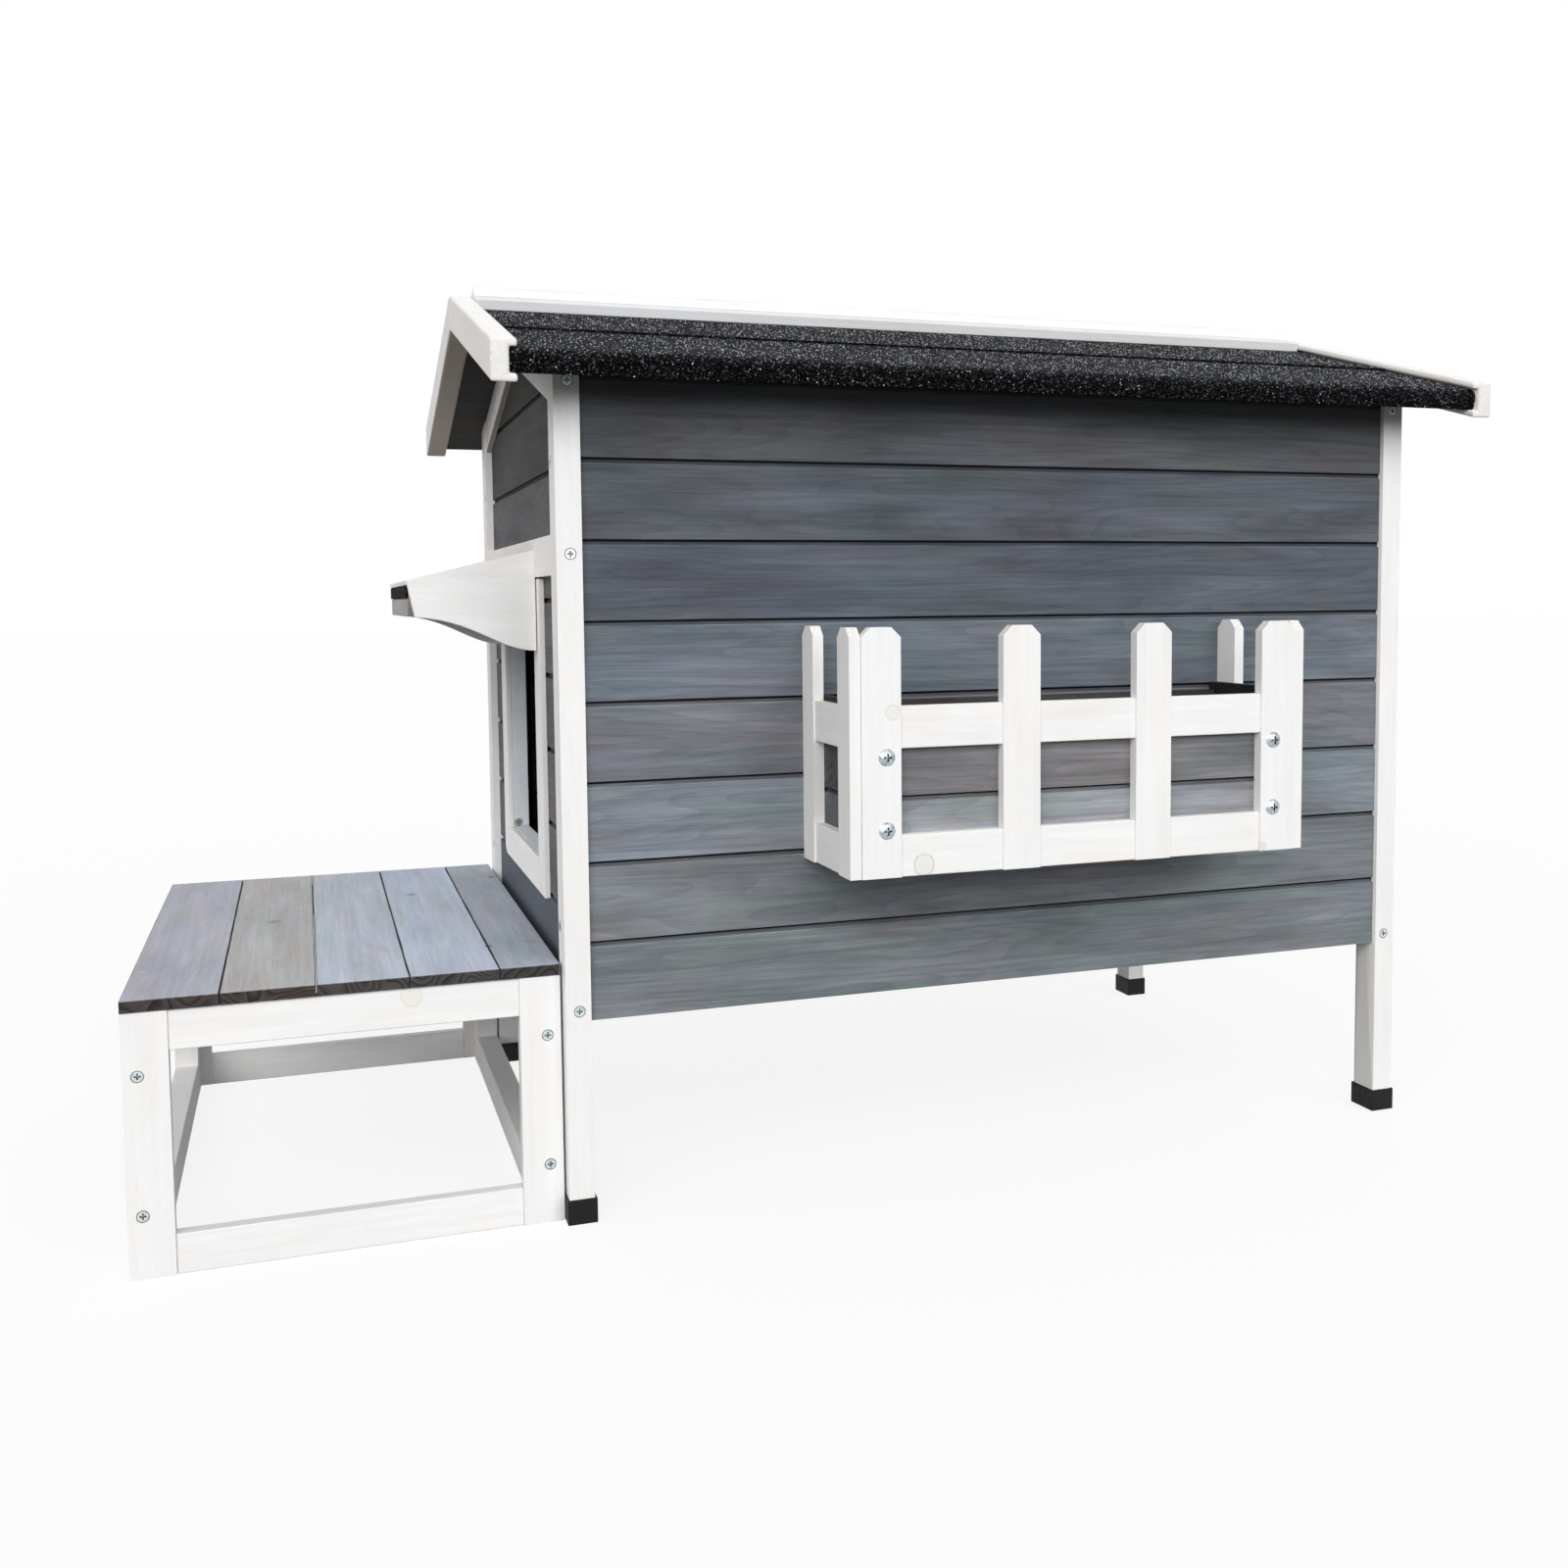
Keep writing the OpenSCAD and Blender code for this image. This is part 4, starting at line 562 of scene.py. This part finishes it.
class CatHouseSizes(bpy.types.PropertyGroup):
    edge_round: bpy.props.FloatProperty(
        name="Edge rounding", description="Radius of the planed edges of the wood", default=0.9 * MM,
        min=0.2 * MM, max=2.0 * MM, **LENGTH)
    barge_round: bpy.props.FloatProperty(
        name="Bargeboard rounding", description="Radius of the routed edges of the bargeboards", default=2.2 * MM,
        min=0.5 * MM, max=3.0 * MM, **LENGTH)
    granule_spacing: bpy.props.FloatProperty(
        name="Granule spacing", description="Distance between the granules that stand on the felt",
        default=3.6 * MM, min=3.0 * MM, max=20.0 * MM, **LENGTH)


class CatHouseColours(bpy.types.PropertyGroup):
    white_wash: bpy.props.FloatVectorProperty(
        name="White wash", description="Colour of the white timber", default=linear("#f4f4f4"), **COLOUR)
    wall: bpy.props.FloatVectorProperty(
        name="Walls", description="Colour of the stained boards of the long walls",
        default=linear("#767e88"), **COLOUR)
    gable: bpy.props.FloatVectorProperty(
        name="Gables", description="Colour of the stained boards of the gables",
        default=linear("#75767a"), **COLOUR)
    kick_board: bpy.props.FloatVectorProperty(
        name="Kick board", description="Colour of the board under the door", default=linear("#5d636d"), **COLOUR)
    under_roof: bpy.props.FloatVectorProperty(
        name="Under the roof", description="Colour of the roof panels and of what is inside",
        default=linear("#3c3835"), **COLOUR)
    planks: bpy.props.FloatVectorProperty(
        name="Planks", description="Colour of the stool's planks", default=linear("#bcc4d3"), **COLOUR)
    trough: bpy.props.FloatVectorProperty(
        name="Trough", description="Colour of the boards in the flower box", default=linear("#87898d"), **COLOUR)
    awning: bpy.props.FloatVectorProperty(
        name="Awning", description="Colour of the awning's board and its strip",
        default=linear("#b0aeae"), **COLOUR)


class CatHouseStudio(bpy.types.PropertyGroup):
    left_light: bpy.props.FloatProperty(
        name="Left light", description="Strength of the soft light from the front left", default=1.45,
        min=0.0, max=10.0)
    right_light: bpy.props.FloatProperty(
        name="Right light", description="Strength of the soft light from the front right", default=1.12,
        min=0.0, max=10.0)
    spread: bpy.props.FloatProperty(
        name="Light spread", description="Angle that each soft light fills", default=math.radians(46),
        min=0.0, max=math.pi, subtype="ANGLE", unit="ROTATION")
    dome: bpy.props.FloatProperty(
        name="Dome", description="Strength of the even light all round", default=1.05, min=0.0, max=2.0)
    warm_side: bpy.props.FloatVectorProperty(
        name="Warm side", description="Tint of the dome at the door's side",
        default=(1.0, 0.965, 0.94, 1.0), **COLOUR)
    cool_side: bpy.props.FloatVectorProperty(
        name="Cool side", description="Tint of the dome at the other side",
        default=(0.88, 0.94, 1.0, 1.0), **COLOUR)
    floor: bpy.props.FloatProperty(
        name="Floor", description="Share of light that the floor throws back on the object", default=0.07,
        min=0.0, max=1.0)


class CATHOUSE_OT_white_frame(bpy.types.Operator):
    """White washed posts, trims, rafters, door frame, awning brackets, bargeboards and ridge"""
    bl_idname = "cathouse.white_frame"
    bl_label = "White frame"

    def execute(self, context):
        white = context.scene.cat_house_colours.white_wash
        upright = stained_wood("spruce_planed_white_wash_upright", white, WHITE_WASH, RUN_Z)
        dress(upright, "post_front_left", "post_front_right", "post_back_left", "post_back_right",
              "door_stile_front", "door_stile_back")
        level = stained_wood("spruce_planed_white_wash_level", white, WHITE_WASH, RUN_Y)
        dress(level, "door_gable_cross_rail", "door_head", "door_sill")
        # The jamb liner, inside the door's opening, is tinted blue grey: painted shade
        liner = stained_wood(
            "spruce_planed_white_wash_liner", tinted(white, (0.9, 0.96, 1.04)), WHITE_WASH, RUN_Z,
            other=((0, 1, 0), MIDDLE_Y, 115.2, RUN_Y), knots=((-296.0, 148.8, 326.5, 4.5, "#241b17", "#3a2a22"),))
        dress(liner, "door_jamb_liner")
        reach = stained_wood("spruce_planed_white_wash_bracket", white, WHITE_WASH, RUN_X)
        dress(reach, "awning_bracket_front", "awning_bracket_back", "roof_stay_block")
        slope = stained_wood("spruce_planed_white_wash_sloping", white, WHITE_WASH, RUN_SLOPE, mirrored=True)
        dress(slope, "door_gable_rafters", "right_gable_rafters")
        dress(slope, *BARGEBOARDS, radius=context.scene.cat_house_sizes.barge_round)
        # The ridge boards are tinted a little darker and bluer: painted shade
        ridge = stained_wood("spruce_planed_white_wash_ridge", tinted(white, (0.9, 0.92, 0.95)), WHITE_WASH, RUN_X)
        dress(ridge, "ridge_board_front", "ridge_board_back")
        return {"FINISHED"}


class CATHOUSE_OT_walls(bpy.types.Operator):
    """Grey stained matched boards of the walls and gables"""
    bl_idname = "cathouse.walls"
    bl_label = "Walls"

    def execute(self, context):
        colours = context.scene.cat_house_colours
        # The boards darken towards the top: partly their own tones, partly painted shade under the eave
        long_walls = stained_wood(
            "fir_planed_grey_stain_long", colours.wall, GREY_STAIN, RUN_X,
            boards=Courses((0, 0, 1), WALL_FOOT, WALL_COVER, (
                (1.11, 1.08, 1.02), (1.14, 1.08, 1.02), (1.24, 1.21, 1.19), (1.01, 0.93, 0.91), (0.85, 0.85, 0.87),
                (0.585, 0.577, 0.605), (0.585, 0.565, 0.575), (0.6, 0.55, 0.53)), reveal=REVEAL))
        dress(long_walls, "front_wall_boards", "back_wall_boards")
        beside_door = (0.76, 0.82, 0.72, 0.8, 0.7)
        gable = stained_wood(
            "fir_planed_grey_stain_gable", colours.gable, GREY_STAIN, RUN_Y,
            boards=Courses((0, 0, 1), GABLE_FOOT, GABLE_COVER, [(t, t, t) for t in beside_door], reveal=REVEAL,
                           recess=0.3))
        dress(gable, "door_gable_boards")
        # The gable's top boards darken board by board towards the roof: partly their own tone, partly painted shade
        # under the roof
        gable_top = stained_wood(
            "fir_planed_grey_stain_gable_top", colours.gable, GREY_STAIN, RUN_Y,
            boards=Courses((0, 0, 1), GABLE_TOP_FOOT, GABLE_TOP_COVER, (
                (0.65, 0.63, 0.65), (0.36, 0.35, 0.345), (0.24, 0.225, 0.21)), reveal=5.5, recess=0.06))
        dress(gable_top, "door_gable_top_boards")
        out_of_sight = (1.05, 0.95, 1.08, 1.0, 0.92, 1.04, 0.96, 0.8, 0.7)
        right = stained_wood(
            "fir_planed_grey_stain_right_gable", colours.gable, GREY_STAIN, RUN_Y,
            boards=Courses((0, 0, 1), WALL_FOOT, GABLE_COVER, [(t, t, t) for t in out_of_sight], reveal=REVEAL))
        dress(right, "right_gable_boards")
        kick = stained_wood("fir_planed_thick_grey_stain", colours.kick_board, THICK_STAIN, RUN_Y)
        dress(kick, "door_gable_kick_board")
        return {"FINISHED"}


class CATHOUSE_OT_inside(bpy.types.Operator):
    """Battens, rails, bearers and floor in the dark colour of the roof's underside: painted shade that keeps the
    inside black
    """
    bl_idname = "cathouse.inside"
    bl_label = "Inside"

    def execute(self, context):
        dark = context.scene.cat_house_colours.under_roof
        upright = stained_wood("fir_planed_thick_stain_upright", dark, THICK_STAIN, RUN_Z)
        dress(upright, "corner_battens")
        long_way = stained_wood("fir_planed_thick_stain_long", dark, THICK_STAIN, RUN_X)
        dress(long_way, "wall_top_rails", "floor_bearers", "floor_panel")
        return {"FINISHED"}


class CATHOUSE_OT_roof(bpy.types.Operator):
    """Felt with standing granules on the roof and awning, and the boards under it"""
    bl_idname = "cathouse.roof"
    bl_label = "Roof"

    def execute(self, context):
        colours = context.scene.cat_house_colours
        felt = granule_felt()
        front, back = "roof_felt_front_", "roof_felt_back_"
        dress(felt, front + "lower", front + "upper", back + "lower", back + "upper", "awning_felt", rounded=False)
        under = stained_wood("fir_planed_thick_stain_roof", colours.under_roof, THICK_STAIN, RUN_X)
        dress(under, "roof_panel_front", "roof_panel_back", rounded=False)
        awning = stained_wood("fir_planed_grey_stain_awning", colours.awning, THICK_STAIN, RUN_Y)
        dress(awning, "awning_board", "awning_fascia")

        slate = slate_granules()
        spacing = context.scene.cat_house_sizes.granule_spacing
        edges = ("ridge_board_front", "ridge_board_back") + BARGEBOARDS
        north = (0, math.cos(SLOPE), math.sin(SLOPE))
        south = (0, -math.cos(SLOPE), math.sin(SLOPE))
        granules(front + "upper", edges, (0, 0, 1), north, slate, "roof_lid", spacing, 11)
        granules(front + "lower", edges + (front + "upper",), (0, -1, 0), north, slate, "roof_lid", spacing, 12)
        sparse = spacing * 1.3
        granules(back + "upper", edges, (0, 0, 1), south, slate, "roof_lid", sparse, 13)
        granules(back + "lower", edges + (back + "upper",), (0, 1, 0), south, slate, "roof_lid", sparse, 14)
        granules("awning_felt", ("awning_bracket_front", "awning_bracket_back"), (-1, 0, 0), (1, 0, 0), slate,
                 "house", spacing, 15)
        return {"FINISHED"}


class CATHOUSE_OT_stool(bpy.types.Operator):
    """Grey planks and white frame of the step stool"""
    bl_idname = "cathouse.stool"
    bl_label = "Step stool"

    def execute(self, context):
        colours = context.scene.cat_house_colours
        planks = stained_wood(
            "fir_planed_thin_grey_stain", colours.planks, PLANK_STAIN, RUN_Y,
            boards=Courses((1, 0, 0), PLANK_START, PLANK_STEP, (
                (0.924, 0.868, 0.865), (0.977, 0.894, 0.793), (1.055, 1.046, 1.048), (1.083, 1.109, 1.165),
                (0.831, 0.846, 0.859)), gap=1.8),
            knots=((-680.4, -126.3, STOOL_TOP, 3.0, "#c9b49a", "#d8c6ac"),
                   (-366.5, -137.1, STOOL_TOP, 3.5, "#2c2724", "#3a322d"),
                   (-324.6, -130.3, STOOL_TOP, 5.0, "#8d8478", "#b3a48c"),
                   (-319.8, 237.7, STOOL_TOP, 4.0, "#3a3533", "#4b4440"),
                   (-569.0, 60.0, STOOL_TOP, 6.0, "#6c6f75", "#8a8c90"),
                   (-420.0, 160.0, STOOL_TOP, 5.0, "#62656b", "#7d8086")))
        dress(planks, "step_planks")
        upright = stained_wood("spruce_planed_white_wash_stool", colours.white_wash, WHITE_WASH, RUN_Z)
        dress(upright, "step_side_legs", "step_end_stiles")
        rails = stained_wood(
            "spruce_planed_white_wash_stool_rails", colours.white_wash, WHITE_WASH, RUN_X,
            other=((0, 1, 0), 49.75, 265.0, RUN_Y),
            knots=((-446.7, -230.7, 228.0, 9.0, "#e2dfd0", "#ecebdf"),
                   (-420.0, 330.2, 30.0, 8.0, "#e2dfd0", "#ecebdf")))
        dress(rails, "step_rails")
        return {"FINISHED"}


class CATHOUSE_OT_flower_box(bpy.types.Operator):
    """Pickets, rails and trough of the flower box"""
    bl_idname = "cathouse.flower_box"
    bl_label = "Flower box"

    def execute(self, context):
        colours = context.scene.cat_house_colours
        pickets = stained_wood(
            "spruce_planed_white_wash_pickets", colours.white_wash, WHITE_WASH, RUN_Z,
            knots=((-31.2, -373.3, 483.0, 6.5, "#dcd6cd", "#efece6"),
                   (361.0, -373.3, 337.5, 4.0, "#ddc9b8", "#ecdfd2")))
        dress(pickets, "flower_box_pickets")
        rails = stained_wood(
            "spruce_planed_white_wash_box_rails", colours.white_wash, WHITE_WASH, RUN_X,
            other=((0, 1, 0), -160.0, 201.0, RUN_Y),
            knots=((-0.5, -371.3, 343.1, 9.5, "#cdc8c0", "#e9e7e2"),))
        dress(rails, "flower_box_rails")
        # The trough's tints darken towards the top; its top board shows only its edge, which is painted nearly
        # black as shade
        trough = stained_wood(
            "fir_planed_grey_stain_trough", colours.trough, GREY_STAIN, RUN_X,
            boards=Courses((0, 0, 1), TROUGH_FOOT, TROUGH_COVER, (
                (1.24, 1.27, 1.3), (0.82, 0.81, 0.82), (0.24, 0.23, 0.23)), reveal=REVEAL))
        dress(trough, "flower_box_trough_boards", "flower_box_floor")
        return {"FINISHED"}


class CATHOUSE_OT_fixings(bpy.types.Operator):
    """Zinc plated screws with rings of painted shade round the countersunk heads, hinges, stay and staples, and the
    rubber foot caps
    """
    bl_idname = "cathouse.fixings"
    bl_label = "Fixings"

    def execute(self, context):
        bright = zinc_plate("steel_zinc_plated_bright", "#b9c3c8", "#e6ecee")
        dress(bright, "house_screws", "step_screws", rounded=False)
        zinc = zinc_plate("steel_zinc_plated_blue", "#8d979d", "#ccd3d6")
        dress(zinc, "flower_box_screws", "roof_hinge_fixed_leaves", "roof_hinge_moving_leaves", "roof_hinge_pins",
              "roof_hinge_wall_screws", "roof_hinge_roof_screws", "roof_stay_arm", "roof_stay_screw", rounded=False)
        dress(moulded_rubber(), "rubber_feet")

        # A ring round each countersunk head, raised a little and uneven, coloured dark as painted shade in the
        # countersink
        points, faces = [], []
        profile = ((4.75, 0.02), (4.95, 0.12), (5.2, 0.09), (5.5, 0.02))
        around = 24
        dice = numpy.random.default_rng(21)
        for centre, out in screw_places():
            out = Vector(out)
            side = out.cross(Vector((0, 0, 1)))
            first = len(points)
            for radius, height in profile:
                for i in range(around):
                    angle = 2 * math.pi * i / around
                    reach = radius + (dice.uniform(-0.12, 0.12) if radius > 5 else 0)
                    spoke = side * math.cos(angle) + Vector((0, 0, 1)) * math.sin(angle)
                    points.append((Vector(centre) + spoke * reach + out * height) * MM)
            faces += band_faces(first, len(profile), around, closed=True)
        new_piece("countersink_shade_rings", points, faces, countersink_shade_wood(), "house", smooth=True)

        # Staples of flat wire, 6 mm long, driven upright into the outer faces of the bargeboards over the door
        points, faces = [], []
        board_face = -372.2
        section = [(0.55 * math.cos(a), 0.3 * math.sin(a)) for a in (math.pi * i / 6 for i in range(7))]
        rings = ((-3.2, 0.4), (-2.6, 1.0), (2.6, 1.0), (3.2, 0.4))    # height, and how far it stands out
        for y, z in (
                (-3.6, 880.7), (-130.0, 847.0), (-255.8, 808.4), (71.1, 880.7), (197.5, 847.0), (323.3, 808.4)):
            faces += band_faces(len(points), len(rings), len(section), closed=False)
            for up, share in rings:
                points += [((board_face - rise * share) * MM, (y + wide) * MM, (z + up) * MM)
                           for wide, rise in section]
        new_piece("bargeboard_staples", points, faces, zinc, "roof_lid", smooth=True)
        return {"FINISHED"}


class CATHOUSE_OT_stage(bpy.types.Operator):
    """Plain pale floor, soft lights and the camera at the photograph's angle"""
    bl_idname = "cathouse.stage"
    bl_label = "Stage"

    def execute(self, context):
        scene = context.scene
        studio = scene.cat_house_studio
        mesh = bpy.data.meshes.new("floor")
        half = 30.0
        corners = [(-half, -half, 0), (half, -half, 0), (half, half, 0), (-half, half, 0)]
        mesh.from_pydata(corners, [], [(0, 1, 2, 3)])
        floor = bpy.data.objects.new("floor", mesh)
        scene.collection.objects.link(floor)
        white = (1.0, 1.0, 1.0, 1.0)
        material, tree, shader = new_material("paper_matt_white")
        shader.inputs["Roughness"].default_value = 0.9
        seen = seen_directly(tree)
        plain = tinted(white, (studio.floor, studio.floor * 0.98, studio.floor * 0.95))
        colour = add(tree, "Mix", {0: seen, 6: plain, 7: white}, output=2, data_type="RGBA")
        coat(tree, shader, colour)
        glow = add(tree, "Emission", {0: white, 1: 1.0})
        share = add(tree, "Math", {0: seen, 1: 0.85}, operation="MULTIPLY")
        output = next(n for n in tree.nodes if n.type == "OUTPUT_MATERIAL")
        tree.links.new(add(tree, "MixShader", {0: share, 1: shader.outputs[0], 2: glow}), output.inputs[0])
        mesh.materials.append(material)

        # A dome dim near the floor and brightest a little above it, warm on the door's side and cool on the other
        world = bpy.data.worlds.new("studio")
        scene.world = world
        world.use_nodes = True
        tree = world.node_tree
        tree.nodes.clear()
        seen = seen_directly(tree)
        way = add(tree, "SeparateXYZ", {0: add(tree, "TexCoord")}).node
        side = add(tree, "MapRange", {0: way.outputs[0], 1: -0.7, 2: 0.7})
        tint = add(tree, "Mix", {0: side, 6: studio.warm_side, 7: studio.cool_side}, output=2, data_type="RGBA")
        tint = add(tree, "Mix", {0: seen, 6: tint, 7: white}, output=2, data_type="RGBA")
        low = add(tree, "MapRange", {0: way.outputs[2], 1: 0.0, 2: 0.25, 3: 0.05, 4: 1.0})
        high = add(tree, "MapRange", {0: way.outputs[2], 1: 0.3, 2: 1.0, 3: 1.0, 4: 0.15})
        level = add(tree, "Math", {0: low, 1: high}, operation="MULTIPLY")
        level = add(tree, "Math", {0: level, 1: studio.dome}, operation="MULTIPLY")
        strength = add(tree, "MapRange", {0: seen, 3: level, 4: 1.0})
        sky = add(tree, "Background", {0: tint, 1: strength})
        tree.links.new(sky, tree.nodes.new("ShaderNodeOutputWorld").inputs[0])

        for name, power, way in (("left_light", studio.left_light, (0.55, 0.72, -0.44)),
                                 ("right_light", studio.right_light, (-0.3, 0.84, -0.46))):
            lamp = bpy.data.lights.new(name, "SUN")
            lamp.energy = power
            lamp.angle = studio.spread
            lamp.color = (1.0, 0.995, 0.985)
            holder = bpy.data.objects.new(name, lamp)
            holder.rotation_euler = Vector(way).to_track_quat("-Z", "Y").to_euler()
            scene.collection.objects.link(holder)

        # The camera, in metres and radians, was found from the edges and screws in the photograph
        stand = Vector((-0.529906, -1.612413, 0.584982))
        yaw, pitch, roll = 0.3250669, 0.0690789, -0.0096631
        ahead = Vector((math.sin(yaw) * math.cos(pitch), math.cos(yaw) * math.cos(pitch), -math.sin(pitch)))
        right = Vector((math.cos(yaw), -math.sin(yaw), 0))
        up = right.cross(ahead)
        turned = math.cos(roll) * right + math.sin(roll) * up
        raised = math.cos(roll) * up - math.sin(roll) * right
        data = bpy.data.cameras.new("camera")
        data.sensor_width = 36.0
        data.lens = 34.2476
        data.shift_x, data.shift_y = -0.0146544, -0.0519757
        camera = bpy.data.objects.new("camera", data)
        basis = Matrix((turned, raised, -ahead)).transposed()
        camera.matrix_world = Matrix.Translation(stand) @ basis.to_4x4()
        scene.collection.objects.link(camera)
        scene.camera = camera
        scene.view_settings.view_transform = "Standard"
        return {"FINISHED"}


OPERATORS = (
    CATHOUSE_OT_white_frame, CATHOUSE_OT_walls, CATHOUSE_OT_inside, CATHOUSE_OT_roof, CATHOUSE_OT_stool,
    CATHOUSE_OT_flower_box, CATHOUSE_OT_fixings, CATHOUSE_OT_stage)


class CATHOUSE_PT_panel(bpy.types.Panel):
    """Lists the finishes of the cat house"""
    bl_label = "Cat house"
    bl_idname = "CATHOUSE_PT_panel"
    bl_space_type = "VIEW_3D"
    bl_region_type = "UI"
    bl_category = "Cat house"

    def draw(self, context):
        scene = context.scene
        for group in (scene.cat_house_sizes, scene.cat_house_colours, scene.cat_house_studio):
            box = self.layout.box()
            for name in group.__annotations__:
                box.prop(group, name)
        for operator in OPERATORS:
            self.layout.operator(operator.bl_idname)


CLASSES = (CatHouseSizes, CatHouseColours, CatHouseStudio) + OPERATORS + (CATHOUSE_PT_panel,)


def register():
    for cls in CLASSES:
        bpy.utils.register_class(cls)
    bpy.types.Scene.cat_house_sizes = bpy.props.PointerProperty(type=CatHouseSizes)
    bpy.types.Scene.cat_house_colours = bpy.props.PointerProperty(type=CatHouseColours)
    bpy.types.Scene.cat_house_studio = bpy.props.PointerProperty(type=CatHouseStudio)


def unregister():
    del bpy.types.Scene.cat_house_studio
    del bpy.types.Scene.cat_house_colours
    del bpy.types.Scene.cat_house_sizes
    for cls in reversed(CLASSES):
        bpy.utils.unregister_class(cls)


def main():
    register()
    for operator in OPERATORS:
        name = operator.bl_idname.split(".")[1]
        getattr(bpy.ops.cathouse, name)()


if __name__ == "__main__":
    main()
